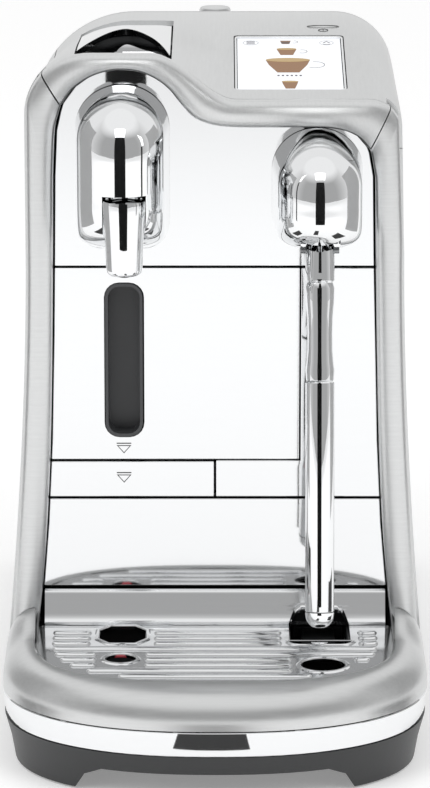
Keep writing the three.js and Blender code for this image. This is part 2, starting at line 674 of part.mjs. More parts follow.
function buildLever() {
  const chrome = material("#d6d7d8", 0.12, 1.0);
  const outer = [];
  const inner = [];
  const n = 14;
  for (let i = 0; i <= n; i++) {
    const x = mix(LEVER_LEFT, LEVER_RIGHT, i / n);
    const y0 = leverFront(x);
    const top = [];
    const under = [];
    for (let k = 0; k <= 6; k++) {
      const y = mix(y0, LEVER_AXLE.y, k / 6);
      const section = bodySection(y, 0, 50, 2);
      const crown = 0.5 * Math.sin((Math.PI * i) / n) * (1 - k / 6);
      const z = onSection(section, x) + crown;
      top.push([x, y, z]);
      under.push([x, y + 1.6 * (1 - k / 6), z - mix(2.2, 5, k / 6)]);
    }
    outer.push(top);
    inner.push(under);
  }
  const plate = wallBetween(outer, inner);
  const axle = LEVER_AXLE;
  const width = LEVER_RIGHT - LEVER_LEFT;
  const middle = (LEVER_RIGHT + LEVER_LEFT) / 2;
  const profile = [[0, LEVER_LEFT]];
  for (let i = 0; i <= 8; i++) {
    const x = mix(LEVER_LEFT, LEVER_RIGHT, i / 8);
    profile.push([onSection(bodySection(axle.y, 0, 50, 2), x) - axle.z - 0.1, x]);
  }
  profile.push([0, LEVER_RIGHT]);
  const barrel = turned(profile, 40).rotateY(Math.PI / 2).translate(0, axle.y, axle.z);
  const bore = rod(axle.r + 0.05, width + 10, "x", [middle, axle.y, axle.z], 24);
  add("capsule_lever", subtract(join(plate, barrel), bore), chrome);
  const pinGeometry = rod(axle.r, width + 4, "x", [middle, axle.y, axle.z], 24);
  add("lever_axle", pinGeometry, material("#8b8c8d", 0.3, 1.0));

  const dark = material("#232425", 0.35, 0.0);
  const sweep = LEVER_SWEEP + GAP;
  const tub = block(LEVER_LEFT - 2.6, LEVER_RIGHT + 2.6, WELL_FRONT - 2, axle.y + sweep + 2, 296, 315.8);
  const well = block(LEVER_LEFT - 0.9, LEVER_RIGHT + 0.9, WELL_FRONT, axle.y + sweep, 298, 330);
  const axleHole = rod(axle.r + 0.3, width + 4.6, "x", [middle, axle.y, axle.z], 24);
  add("lever_well", subtract(tub, well, axleHole), dark);
}

// Frame of the sloping display: x to the right, y up the slope, z out of the glass.
const SLOPE = THREE.MathUtils.degToRad(12.2);
const SCREEN = { x: 35.6, y: -46, width: 50.4, length: 69.4 };

function onSlope(geometry, lift = 0) {
  const z = roofAt(SCREEN.x, SCREEN.y) + lift;
  return geometry.rotateX(SLOPE).translate(SCREEN.x, SCREEN.y, z);
}

function screenShape(grow, r) {
  const w = SCREEN.width / 2 + grow;
  const l = SCREEN.length / 2 + grow;
  return roundedShape(-w, w, -l, l, r, 4);
}

function displayRecess(clearance) {
  return onSlope(slab(screenShape(1 + clearance, 2.6), -12, 6));
}

function powerSlot(clearance) {
  return powerShape(-12, 8, clearance);
}

function powerShape(low, high, grow) {
  const g = slab(roundedShape(-7.6 - grow, 7.6 + grow, -2.4 - grow, 2.4 + grow, 2.3 + grow, 6), low, high);
  return g.rotateX(SLOPE * 0.9).translate(52.6, 1.7, roofAt(52.6, 1.7));
}

function buildControls() {
  const rim = slab(screenShape(1, 2.4), -4.4, -0.3);
  const hole = slab(screenShape(0, 2), -6, 1);
  add("display_bezel", onSlope(subtract(rim, hole)), material("#c9cacb", 0.1, 1.0));
  const glass = onSlope(slab(screenShape(-0.35, 1.7), -2.4, -1));
  add("touch_display", glass, material("#f1f3f6", 0.1, 0.0));
  const board = onSlope(slab(screenShape(-0.35, 1.7), -5.4, -2.8));
  add("display_board", board, material("#1f5a34", 0.6, 0.0));
  add("power_button", powerShape(-3.4, -0.1, 0), material("#c6c7c8", 0.3, 1.0));
}

// ---------- drip tray ----------

// Plan half-outline of the tray rim, from the rear left round the front to the rear right.
function rimPath(hw, frontY, power, count) {
  const yc = -124;
  const points = [];
  for (let i = 0; i <= count; i++) {
    const a = (i / count) * Math.PI;
    const c = Math.cos(a);
    const s = Math.sin(a);
    const k = Math.pow(Math.pow(Math.abs(c), power) + Math.pow(s, power), -1 / power);
    points.push([-hw * c * k, yc - (-frontY + yc) * s * k]);
  }
  return points;
}

function buildRing() {
  const count = 36;
  const rim = rimPath(85.2, -189.2, 2.7, count);
  const rimIn = rimPath(84.2, -188, 2.7, count);
  const plan = planRing(0, 0, 0, count / 2).slice(0, count + 1);
  const planIn = planRing(0, 4.5, 4.5, count / 2).slice(0, count + 1);
  const rear = FRAME_FRONT - 0.5;
  const outer = [];
  const inner = [];
  const station = (xo, yo, xr, yr, xi, yi, xd, yd, up) => {
    const z = (t) => mix(38, GRID_TOP + 0.8 + up, t);
    const at = (t, h) => [mix(xo, xr, t), mix(yo, yr, t), h];
    outer.push([
      [xd + (xo - xd), yo, RING_BOTTOM], at(0, 37.5), at(0.05, z(0.16)), at(0.2, z(0.44)),
      at(0.45, z(0.74)), at(0.75, z(0.93)), at(1, z(1)),
    ]);
    inner.push([
      [xd, yd, RING_BOTTOM], [xd, yd, 38], [mix(xd, xi, 0.3), mix(yd, yi, 0.3), 40],
      [mix(xd, xi, 0.6), mix(yd, yi, 0.6), 42], [xi, yi, 44], [xi, yi, 46], [xi, yi, z(1) - 0.6],
    ]);
  };
  const tail = (side, y, up) => {
    const k = side < 0 ? 0 : count;
    station(plan[k][0], y, side * mix(85, 85.6, up / 8), y, side * 84.3, y, planIn[k][0], y, up);
  };
  tail(-1, rear, 8);
  tail(-1, rear - 8, 6);
  tail(-1, rear - 16, 2.4);
  for (let k = 0; k <= count; k++)
    station(...plan[k].slice(0, 2), ...rim[k], ...rimIn[k], ...planIn[k].slice(0, 2), 0);
  tail(1, rear - 16, 2.4);
  tail(1, rear - 8, 6);
  tail(1, rear, 8);
  add("base_ring", wallBetween(outer, inner), material("#bdbebf", 0.35, 1.0));
}

// Outline of the grid plate and the tub, inset from the rim.
function trayShape(inset, rearY) {
  const points = rimPath(84 - inset, -187.6 + inset, 2.7, 32);
  const rearHalf = 81.6 - inset;
  const list = [...points, [84 - inset, -101.2], [rearHalf, -99.6], [rearHalf, rearY]];
  list.push([-rearHalf, rearY], [-rearHalf, -99.6], [-(84 - inset), -101.2]);
  return shapeOf(list);
}

function buildTray() {
  const dark = material("#2a2b2c", 0.5, 0.0);
  const tub = slab(trayShape(3, -90), RING_BOTTOM + 0.6, GRID_TOP - GRID_THICK - 1.8);
  const bowl = slab(trayShape(5, -92), RING_BOTTOM + 2.6, GRID_TOP);
  const left = SENSOR.x - 15.6;
  const right = SENSOR.x + 15.4;
  const walls = block(left - 1.6, right + 1.6, -136, -90, RING_BOTTOM + 0.6, GRID_TOP - GRID_THICK - 1.8);
  const channel = block(left, right, -134.4, -80, 30, GRID_TOP + 4);
  add("drip_tray", subtract(join(subtract(tub, bowl), walls), channel), dark);

  const steel = material("#e4e5e6", 0.1, 1.0);
  const low = GRID_TOP - GRID_THICK;
  const plate = slab(trayShape(0, -89), low, GRID_TOP);
  const side = shapeOf([
    [-107, low], [-98, low + 0.6], [-94.6, 58], [-92.4, RIDGE_TOP - 1], [-90.6, RIDGE_TOP], [-89, RIDGE_TOP],
    [-89, RIDGE_TOP - 1.4], [-91, RIDGE_TOP - 3], [-93.4, 57], [-96.6, low - 0.1], [-107, low - 0.6],
  ]);
  const ridge = new THREE.ExtrudeGeometry(side, { depth: 163.2, bevelEnabled: false });
  ridge.applyMatrix4(new THREE.Matrix4().set(0, 0, 1, -81.6, 1, 0, 0, 0, 0, 1, 0, 0, 0, 0, 0, 1));
  const ribs = [];
  for (const [x0, x1, y] of ribPlaces()) {
    const rib = rod(1.5, x1 - x0, "x", [(x0 + x1) / 2, y, 0], 8);
    rib.scale(1, 1.4, 0.8).translate(0, y * -0.4, GRID_TOP - 0.1);
    ribs.push(rib);
  }
  const holes = [];
  holes.push(octagon(-43.8, -115.8, 11, 14.2));
  holes.push(rod(7.1, 30, "z", [FLOAT.x, FLOAT.y, GRID_TOP], 24));
  holes.push(rod(10.2, 30, "z", [50.1, -163.5, GRID_TOP], 24));
  holes.push(slab(roundedShape(SENSOR.x - 14.4, SENSOR.x + 14.6, -132.6, -103, 6, 3), 30, 70));
  const backCut = block(-90, 90, -89.2, -80, 40, 51);
  const grid = subtract(join(plate, ridge, ...ribs), ...holes, backCut);
  add("drip_grid", grid, steel);

  const float = turned([[0, 0], [FLOAT.r, 0], [FLOAT.r, 10], [FLOAT.r - 1, 12], [0, 12.4]], 24);
  add("drip_float", float, material("#c4414a", 0.45, 0.0), [FLOAT.x, FLOAT.y, RING_BOTTOM + 3]);

  const liner = block(left + GAP, right - GAP, -134, -91, RING_BOTTOM + 0.8, GRID_TOP - GRID_THICK - 1);
  const linerCut = block(left + 2, right - 2, -132.4, -80, 30, 60);
  add("sensor_pocket", subtract(liner, linerCut), material("#303132", 0.4, 0.0));
  const arm = block(SENSOR.x - 8, SENSOR.x + 8, -127, -79, 37, 43);
  const well = rod(SENSOR.r + 0.05, 20, "z", [SENSOR.x, SENSOR.y, 50], 20);
  const root = block(SENSOR.x - 12, SENSOR.x + 12, -75.6, -70, 36, 44);
  const bridge = block(SENSOR.x - 8, SENSOR.x + 8, -80, -75, 37, 43);
  add("sensor_arm", subtract(join(arm, bridge, root), well), material("#3a3b3c", 0.45, 0.0));
  const button = turned([[0, 0], [SENSOR.r, 0], [SENSOR.r, 6.6], [SENSOR.r - 0.8, 7.4], [0, 7.4]], 24);
  add("sensor_button", button, material("#d0d1d2", 0.2, 1.0), [SENSOR.x, SENSOR.y, 42.2]);
}

function octagon(x, y, hw, hd) {
  const c = 5.2;
  const shape = shapeOf([
    [x - hw, y - hd + c * 1.4], [x - hw + c, y - hd], [x + hw - c, y - hd], [x + hw, y - hd + c * 1.4],
    [x + hw, y + hd - c * 1.4], [x + hw - c, y + hd], [x - hw + c, y + hd], [x - hw, y + hd - c * 1.4],
  ]);
  return slab(shape, 30, 80);
}

function ribPlaces() {
  const places = [];
  const first = -112.6;
  for (let i = 0; i < 9; i++) {
    const y = first - i * RIB_PITCH;
    const reach = trayReach(y) - 7;
    let spans = [[-reach, reach]];
    if (Math.abs(y + 115.8) < 17) spans = withoutSpan(spans, -58.5, -29);
    if (Math.abs(y - FLOAT.y) < 10) spans = withoutSpan(spans, -55, -33);
    if (y > -137) spans = withoutSpan(spans, SENSOR.x - 18, SENSOR.x + 18);
    if (Math.abs(y + 163.5) < 13) spans = withoutSpan(spans, 36, 64);
    for (const [a, b] of spans) if (b - a > 8) places.push([a, b, y]);
  }
  return places;
}

function trayReach(y) {
  const u = Math.max(0, (-124 - y) / 63.6);
  return 84 * Math.pow(Math.max(0, 1 - Math.pow(u, 2.7)), 1 / 2.7);
}

function withoutSpan(spans, x0, x1) {
  const out = [];
  for (const [a, b] of spans) {
    if (a < x0) out.push([a, Math.min(b, x0)]);
    if (b > x1) out.push([Math.max(a, x1), b]);
  }
  return out;
}

// ---------- tank ----------

function buildTank() {
  const clear = material("#9fa5a9", 0.15, 0.0);
  const y0 = TANK_FRONT;
  const y1 = back - 4;
  const low = PLINTH_TOP + 6;
  const lidZ = roofAt(0, y0) - LID_DROP;
  const wide = slab(roundedShape(-TANK_HALF, TANK_HALF, y0, y1, 16, 5), low, lidZ - 2);
  const room = slab(
    roundedShape(-TANK_HALF + 2.4, TANK_HALF - 2.4, y0 + 2.4, y1 - 2.4, 13.6, 5), low + 3, lidZ + 6);
  const outlet = rod(5.2, 20, "z", [40, 160, low], 20);
  add("water_tank", subtract(wide, room, outlet), clear);
  const lid = slab(roundedShape(-TANK_HALF, TANK_HALF, y0, y1, 16, 5), lidZ - 1.6, lidZ + 1.6);
  const plug = slab(roundedShape(-TANK_HALF + 3, TANK_HALF - 3, y0 + 3, y1 - 3, 13, 5), lidZ - 6, lidZ - 1.6);
    add("tank_lid", join(lid, plug), material("#8f9091", 0.4, 0.4));
  const knob = turned([[0, 0], [6, 0], [6, 13.5], [8.2, 14.5], [8.4, 18], [7.6, 19.6], [0, 20]], 28);
  add("tank_knob", knob, material("#b9babb", 0.25, 0.8), [0, y1 - 26, lidZ + 1.9]);
  const poppet = turned([[0, 0], [3.8, 0], [3.8, 8], [7.6, 8.2], [7.6, 10], [0, 10]], 20);
  add("tank_valve", poppet, material("#39393a", 0.6, 0.0), [40, 160, low - 4.6]);
  const seat = turned([[6.6, 0], [12, 0], [12, 4.6], [6.6, 4.6], [6.6, 0]], 24);
  add("tank_seat", seat, material("#39393a", 0.6, 0.0), [40, 160, PLINTH_TOP + GAP]);
}

// ---------- works inside the body ----------

function buildWorks() {
  const steel = material("#9c9da0", 0.35, 1.0);
  const plastic = material("#2f3032", 0.6, 0.0);
  const floor = PLINTH_TOP + GAP;
  const pumpBody = join(rod(21, 60, "y", [-52, 20, floor + 28], 24), block(-68, -36, -2, 42, floor, floor + 12));
  add("water_pump", pumpBody, steel);
  const heater = join(rod(26, 70, "z", [50, 60, floor + 40], 28), block(30, 70, 40, 80, floor, floor + 6));
  add("brew_heater", heater, steel);
  const steamBoiler = join(rod(22, 80, "z", [52, 0, floor + 44], 28), block(34, 70, -18, 16, floor, floor + 6));
  add("steam_heater", steamBoiler, steel);
  add("main_board", block(-84, -82.4, 50, 110, floor + 6, 200), material("#1f5a34", 0.7, 0.0));
  const cage = subtract(block(-64, -22, -60, 30, 252, 292), rod(16.5, 100, "y", [COFFEE_X, -4, 270], 24));
  const mouth = block(-58, -28, -34, -12, 268, 299);
  const drop = block(-58, -28, -34, -12, 245, 262);
  const railLeft = block(-64, -60.2, 27, 108, 252, 264);
  const railRight = block(-26.8, -22, 27, 108, 252, 264);
  const railEnd = block(-64, -22, 106, 108, 252, 264);
  add("brew_cage", subtract(join(cage, railLeft, railRight, railEnd), mouth, drop), plastic);
  add("brew_piston", rod(16, 34, "y", [COFFEE_X, 8, 270], 24), steel);
  const chute = block(-61, -25, -38, -8, 222, 250);
  add("capsule_chute", subtract(chute, block(-59, -27, -36, -10, 220, 252)), plastic);
}

buildBase();
buildFrame();
buildBody();
buildPanels();
buildHeads();
buildWand();
buildLever();
buildControls();
buildRing();
buildTray();
buildTank();
buildWorks();

export default machine;
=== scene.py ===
"""A pod coffee machine: finishes and detailed pieces laid over the packed CAD frame."""
import json
import math

import bmesh
import bpy
from mathutils import Matrix, Vector


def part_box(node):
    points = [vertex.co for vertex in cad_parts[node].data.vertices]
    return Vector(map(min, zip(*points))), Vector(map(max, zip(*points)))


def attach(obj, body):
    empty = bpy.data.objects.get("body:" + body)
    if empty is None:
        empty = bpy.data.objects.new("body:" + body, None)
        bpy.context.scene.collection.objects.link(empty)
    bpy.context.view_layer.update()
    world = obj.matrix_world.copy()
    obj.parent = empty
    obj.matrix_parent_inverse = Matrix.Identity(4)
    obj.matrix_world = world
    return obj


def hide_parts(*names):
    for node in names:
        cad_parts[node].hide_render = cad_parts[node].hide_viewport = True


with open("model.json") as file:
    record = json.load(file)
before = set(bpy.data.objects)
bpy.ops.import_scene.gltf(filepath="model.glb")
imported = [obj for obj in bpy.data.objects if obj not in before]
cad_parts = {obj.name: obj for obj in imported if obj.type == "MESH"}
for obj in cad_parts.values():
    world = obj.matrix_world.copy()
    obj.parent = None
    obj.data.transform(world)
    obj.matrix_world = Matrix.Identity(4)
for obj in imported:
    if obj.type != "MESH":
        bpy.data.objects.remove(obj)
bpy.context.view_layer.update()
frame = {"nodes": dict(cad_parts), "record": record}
NODES = frame["nodes"]

bl_info = {
    "name": "Pod Coffee Machine",
    "version": (1, 0, 0),
    "blender": (4, 5, 0),
    "location": "3D View > Sidebar > Coffee",
    "description": "Builds a pod coffee machine with a steam wand over its CAD frame",
    "category": "Add Mesh",
}

MM = 0.001
MID = 88.0
HEIGHT = 328.0
FRAME_FRONT = -100.3
FRAME_BACK = -86.0
FRAME_FOOT = 35.2
BODY_START = FRAME_BACK + 0.4
BODY_BACK = 116
HEAD_BACK = 36
HEAD_WALL = 2.4
BODY_WALL = 1.5
PANEL_FRONT = -88.3
PANEL_LEAN = 0.021
PANEL_BOTTOM = 67.8
GRID_TOP = 52.0
GRID_LOW = 50.6
GRID_HALF = 84
GRID_POWER = 2.7
RIDGE_HALF = 81.6
SLOPE = math.radians(12.2)
SCREEN_AT = (35.6, -46.0)
POWER_AT = (52.6, 1.7)
WAND = (48.4, -128.0, 238.5)
WAND_TILT = 0.202
LEVER = (-64.6, -21.0)
LEVER_TIP = -90
LEVER_NOTCH = -27
AXLE = (-8.0, 313.4)
COFFEE_X = -43.5
STEAM_X = 48.1
SPOUT_AT = (-41.6, -138)
CUP_REST = (-43.8, -115.8)
FLOAT_AT = (-44, -154)
DRAIN_AT = (50.1, -163.5)
SHARP = 35
ROUND_SIDES = 72
ARC_STEPS = 8

LEFT_POST = [(-84.6, 48), (-82.6, 70), (-80.2, 100), (-78.2, 140), (-77, 190), (-76.3, 240)]
RIGHT_POST = [(75.6, 240), (76.6, 190), (78, 140), (80, 100), (82.6, 70), (84.6, 48)]
LEFT_CORNER = [(-76, 268, -87.8), (-75, 290, -86.6), (-73, 299, -83.6), (-71.9, 302.7, -80.9)]
HEAD_EDGE = [
    (-71.5, 303.4, -80.4), (-66, 310.9, -72.5), (-58, 316.4, -62), (-50, 319.2, -52), (-43.7, 319.9, -43.7),
    (-36, 319.1, -34), (-28, 315.8, -23), (-21.5, 310.8, -14), (-16, 304, -8), (-10.5, 298, -2),
    (-4, 294.8, 3), (4, 293.3, 9), (14, 292.8, 16), (28, 292.8, 28.5), (42, 292.8, 43), (52.5, 292.6, 55),
    (61, 291, 67), (67.5, 287.6, 76), (72, 282.4, 81.6),
]
RIGHT_CORNER = [(72.3, 281.8, 82.0), (73.2, 279.4, 83.4), (75.2, 268, 85.6)]

# How far each dome stands out from the panel, as (height, reach) pairs from its lower lip to its crown.
COFFEE_NOSE = [
    (233, 0.4), (234.6, 8), (238.2, 26), (242, 40), (246, 48), (251, 53), (258, 55.4), (266, 55.4),
    (276, 55.4), (286, 55.4), (294, 54), (300, 50.5), (305, 45), (308.4, 37), (310.2, 26), (310.8, 14),
    (311, 1),
]
STEAM_NOSE = [
    (238, 0.4), (239, 12), (240.4, 32), (242, 46), (245, 55), (250, 60.6), (256, 63), (263, 63),
    (270, 62.4), (277, 60), (282, 56), (286, 49.5), (288.6, 40), (290, 26), (290.4, 14), (290.6, 1),
]

# Turns an outline in X and Y, thickened along Z, so that it stands in Y and Z and runs across along X.
ACROSS = Matrix(((0, 0, 1, 0), (1, 0, 0, 0), (0, 1, 0, 0), (0, 0, 0, 1)))


class CoffeeSizes(bpy.types.PropertyGroup):
    """Sizes of the details that a user would change."""

    rib_width: bpy.props.FloatProperty(
        name="Rib width", description="Width of each raised rib of the drip grid",
        default=0.0052, unit="LENGTH")
    rib_height: bpy.props.FloatProperty(
        name="Rib height", description="Height of the ribs above the grid", default=0.0015, unit="LENGTH")
    rib_pitch: bpy.props.FloatProperty(
        name="Rib pitch", description="Distance from one rib to the next", default=0.0085, unit="LENGTH")
    edge: bpy.props.FloatProperty(
        name="Edge radius", description="Rounding of pressed and moulded edges",
        default=0.0004, unit="LENGTH")
    louvre_count: bpy.props.IntProperty(
        name="Louvres", description="Ventilation louvres under the base", default=9, min=1)


class CoffeeColours(bpy.types.PropertyGroup):
    """Colours of the main finishes, as sRGB hex."""

    brushed: bpy.props.StringProperty(
        name="Brushed steel", description="Frame, head and ring", default="#e2e3e3")
    mirror: bpy.props.StringProperty(
        name="Mirror steel", description="Front panels and tray", default="#e9eaeb")
    chrome: bpy.props.StringProperty(
        name="Chrome", description="Heads, wand, lever and band", default="#f0f1f2")
    plastic: bpy.props.StringProperty(
        name="Dark plastic", description="Base and grip", default="#2f3031")
    black: bpy.props.StringProperty(
        name="Black plastic", description="Tray tub and inner pieces", default="#222324")
    red: bpy.props.StringProperty(
        name="Float red", description="Water level float", default="#c8404c")


# ---------- numbers and curves ----------

def linear(hex_text, alpha=1.0):
    out = []
    for i in (1, 3, 5):
        c = int(hex_text[i:i + 2], 16) / 255
        out.append(c / 12.92 if c <= 0.04045 else ((c + 0.055) / 1.055) ** 2.4)
    return (*out, alpha)


def smooth(t):
    t = min(1.0, max(0.0, t))
    return t * t * (3 - 2 * t)


def mix(a, b, t):
    return a + (b - a) * t


def along(a, b, c, d, t):
    """One coordinate at t from b to c, on the curve that also passes through a and d."""
    square = (2 * a - 5 * b + 4 * c - d) * t * t
    cube = (3 * b - a - 3 * c + d) * t ** 3
    return 0.5 * (2 * b + (c - a) * t + square + cube)


def catmull(points, per=6):
    """The points with extra ones between them on a smooth curve through all."""
    out = []
    last = len(points) - 1
    for i in range(last):
        near = [points[max(0, i - 1)], points[i], points[i + 1], points[min(last, i + 2)]]
        for k in range(per):
            out.append(tuple(along(*four, k / per) for four in zip(*near)))
    out.append(tuple(points[-1]))
    return out


def circle(cx, cy, r, count):
    """Evenly spaced points on a circle."""
    turns = [2 * math.pi * k / count for k in range(count)]
    return [(cx + r * math.cos(a), cy + r * math.sin(a)) for a in turns]


def side_at(z):
    """Half width of the body at height z, which flares towards the base."""
    low = max(0.0, (HEIGHT * 0.7 - z) / (HEIGHT * 0.7 - 48))
    return MID + 9.4 * low ** 1.7


def roof_at(x, y):
    """Height of the roof: level behind the crest, and on the right a slope that carries the display."""
    crest_y, fall, lip = 38.0, 0.18, 24.0
    high = HEIGHT - 0.6 * smooth((crest_y - y) / 100)
    line = HEIGHT - lip + math.tan(SLOPE) * (y - FRAME_FRONT)
    soft = 5.0
    h = max(soft - abs(line - HEIGHT), 0) / soft
    low = min(line, HEIGHT) - h * h * soft / 4
    base = HEIGHT if y > crest_y else mix(high, low, smooth((x + 30) / 40))
    past = max(0.0, y - crest_y)
    return base - fall * past * smooth(past / 12 + 0.4)


def corner_at(y, left):
    """Radius of the body's upper left or upper right edge at depth y."""
    t = smooth((y - FRAME_FRONT) / 120)
    return mix(30, 50, t) if left else mix(15, 29, t)


def section_frame(y, inset):
    """The body's growth, both corner radii and both sides at depth y."""
    grow = 1.4 * smooth((y - FRAME_FRONT) / 16)
    rl, rr = corner_at(y, True) - inset, corner_at(y, False) - inset
    xl, xr = -(MID + grow - inset), MID - 1.6 + grow - inset
    return grow, rl, rr, xl, xr


def body_section(y, inset, z_low, fine=3):
    """The outline of the body at depth y, from the lower left over the roof to the lower right."""
    grow, rl, rr, xl, xr = section_frame(y, inset)
    sides = [mix(z_low, 240, i / 24) for i in range(25)]
    top_l, top_r = roof_at(xl + rl, y) - inset, roof_at(xr - rr, y) - inset
    points = [(-(side_at(z) + grow - inset), y, z) for z in sides]
    n = 7 * fine
    for i in range(n + 1):
        a = i / n * math.pi / 2
        points.append((xl + rl - rl * math.cos(a), y, top_l - rl + rl * math.sin(a)))
    m = 14 * fine
    for i in range(1, m):
        x = mix(xl + rl, xr - rr, i / m)
        points.append((x, y, roof_at(x, y) - inset))
    for i in range(n + 1):
        a = math.pi / 2 - i / n * math.pi / 2
        points.append((xr - rr + rr * math.cos(a), y, top_r - rr + rr * math.sin(a)))
    for z in reversed(sides):
        points.append((side_at(z) - 1.6 * max(0, z - 230) / 40 + grow - inset, y, z))
    return points


def roof_part(y, inset):
    """The part of the outline that the head covers, from the left shoulder to the right side."""
    section = body_section(y, inset, 50)
    part = section[25 + 9:-25]
    return part + [tuple(mix(a, b, 0.2) for a, b in zip(section[-26], section[-25]))]


def head_room(y):
    """An outline that leaves room for the head in the body wrap at depth y."""
    part = roof_part(y, 0)
    left, right = part[0], part[-1]
    return [(left[0] - 0.4, y, left[2] - 9), (left[0] - 0.4, y, 340), (right[0] + 20, y, 340),
            (right[0] + 20, y, right[2] - 0.4), (right[0] - 20, y, right[2] - 0.4)]


def on_roof(x, y, inset=0.0):
    """Height of the body's outline at x and y, for x inside its width."""
    _, rl, rr, xl, xr = section_frame(y, inset)
    if x < xl + rl:
        top = roof_at(xl + rl, y) - inset
        return top - rl + math.sqrt(max(0.0, rl * rl - (xl + rl - x) ** 2))
    if x > xr - rr:
        top = roof_at(xr - rr, y) - inset
        return top - rr + math.sqrt(max(0.0, rr * rr - (x - xr + rr) ** 2))
    return roof_at(x, y) - inset


def rim_path(hw, front_y, power, count, yc=-124.0):
    """A rounded front edge of half width hw that reaches forward from yc to front_y."""
    out = []
    for i in range(count + 1):
        a = i / count * math.pi
        c, s = math.cos(a), math.sin(a)
        k = (abs(c) ** power + max(s, 0) ** power) ** (-1 / power)
        out.append((-hw * c * k, yc - (yc - front_y) * s * k))
    return out


def plan_front(inset, side_inset, count):
    """The front edge of the base."""
    return rim_path(100 - side_inset, -210 + inset, 2.3, count, -130.0)


# ---------- meshes ----------

def link(name, mesh, material=None):
    obj = bpy.data.objects.new(name, mesh)
    bpy.context.scene.collection.objects.link(obj)
    if material:
        mesh.materials.append(material)
    return obj


def mesh_from(name, verts, faces, material=None, sharp=SHARP):
    """A closed mesh from points in millimetres."""
    mesh = bpy.data.meshes.new(name)
    mesh.from_pydata([tuple(c * MM for c in v) for v in verts], [], faces)
    mesh.validate()
    mesh.update()
    obj = link(name, mesh, material)
    outward(obj)
    shade(obj, sharp)
    return obj


def outward(obj):
    """Merges doubles and turns every face outwards."""
    bm = bmesh.new()
    bm.from_mesh(obj.data)
    bmesh.ops.remove_doubles(bm, verts=bm.verts, dist=1e-6)
    bmesh.ops.recalc_face_normals(bm, faces=bm.faces)
    if bm.calc_volume(signed=True) < 0:
        bmesh.ops.reverse_faces(bm, faces=bm.faces)
    bm.to_mesh(obj.data)
    bm.free()


def shade(obj, angle=SHARP):
    """Smooth shading with sharp edges where two faces meet at more than angle degrees."""
    obj.data.polygons.foreach_set("use_smooth", [True] * len(obj.data.polygons))
    obj.data.set_sharp_from_angle(angle=math.radians(angle))


def apply_all(obj):
    """The object's mesh with its modifiers worked in."""
    graph = bpy.context.evaluated_depsgraph_get()
    worked = obj.evaluated_get(graph)
    mesh = bpy.data.meshes.new_from_object(worked, preserve_all_data_layers=True, depsgraph=graph)
    obj.modifiers.clear()
    obj.data = mesh
    return obj


def wall(name, outer, inner, material, sharp=SHARP):
    """A closed wall between two grids of points with the same layout."""
    rows, cols = len(outer), len(outer[0])
    verts = [p for row in outer for p in row] + [p for row in inner for p in row]
    at = lambda s, r, c: s * rows * cols + r * cols + c
    faces = []
    for r in range(rows - 1):
        for c in range(cols - 1):
            faces.append((at(0, r, c), at(0, r + 1, c), at(0, r + 1, c + 1), at(0, r, c + 1)))
            faces.append((at(1, r, c), at(1, r, c + 1), at(1, r + 1, c + 1), at(1, r + 1, c)))
    for r in range(rows - 1):
        for c in (0, cols - 1):
            faces.append((at(0, r, c), at(1, r, c), at(1, r + 1, c), at(0, r + 1, c)))
    for c in range(cols - 1):
        for r in (0, rows - 1):
            faces.append((at(0, r, c), at(1, r, c), at(1, r, c + 1), at(0, r, c + 1)))
    return mesh_from(name, verts, faces, material, sharp)


def loft(name, rings, material, sharp=SHARP):
    """A solid through closed rings of points, with a flat face at each end."""
    n = len(rings[0])
    verts = [p for ring in rings for p in ring]
    faces = []
    for r in range(len(rings) - 1):
        for i in range(n):
            j = (i + 1) % n
            faces.append((r * n + i, r * n + j, (r + 1) * n + j, (r + 1) * n + i))
    faces.append(tuple(range(n - 1, -1, -1)))
    faces.append(tuple(range((len(rings) - 1) * n, len(rings) * n)))
    return mesh_from(name, verts, faces, material, sharp)


def turned(name, profile, material, place, tilt=0.0):
    """A solid of revolution from (radius, height) pairs, tilted about X and then placed."""
    turn = Matrix.Rotation(-tilt, 3, "X")
    rings = []
    for r, z in profile:
        level = [(x, y, z) for x, y in circle(0, 0, max(r, 0.01), ROUND_SIDES)]
        rings.append([tuple(turn @ Vector(p) + Vector(place)) for p in level])
    return loft(name, rings, material)


def box_mesh(name, lo, hi, material=None):
    x, y, z = zip(lo, hi)
    verts = [(x[i], y[j], z[k]) for i in (0, 1) for j in (0, 1) for k in (0, 1)]
    faces = [(0, 1, 3, 2), (4, 6, 7, 5), (0, 4, 5, 1), (2, 3, 7, 6), (0, 2, 6, 4), (1, 5, 7, 3)]
    return mesh_from(name, verts, faces, material)


def raised(name, parts, low, high, material, lay=lambda a, b, h: (a, b, h)):
    """Flat outlines, each thickened from low to high, with lay placing a point at a height."""
    verts, faces = [], []
    for part in parts:
        n, k = len(part), len(verts)
        verts += [lay(a, b, low) for a, b in part] + [lay(a, b, high) for a, b in part]
        faces += [tuple(range(k, k + n)), tuple(range(k + 2 * n - 1, k + n - 1, -1))]
        faces += [(k + i, k + (i + 1) % n, k + n + (i + 1) % n, k + n + i) for i in range(n)]
    return mesh_from(name, verts, faces, material)


def prism(name, outline, low, high, material):
    """An outline in X and Y thickened along Z."""
    return raised(name, [outline], low, high, material)


def rounded(x0, x1, z0, z1, r):
    """A rectangle with rounded corners."""
    out = []
    corners = ((x1 - r, z0 + r, -90), (x1 - r, z1 - r, 0), (x0 + r, z1 - r, 90), (x0 + r, z0 + r, 180))
    for cx, cz, start in corners:
        for i in range(ARC_STEPS + 1):
            a = math.radians(start + 90 * i / ARC_STEPS)
            out.append((cx + r * math.cos(a), cz + r * math.sin(a)))
    return out


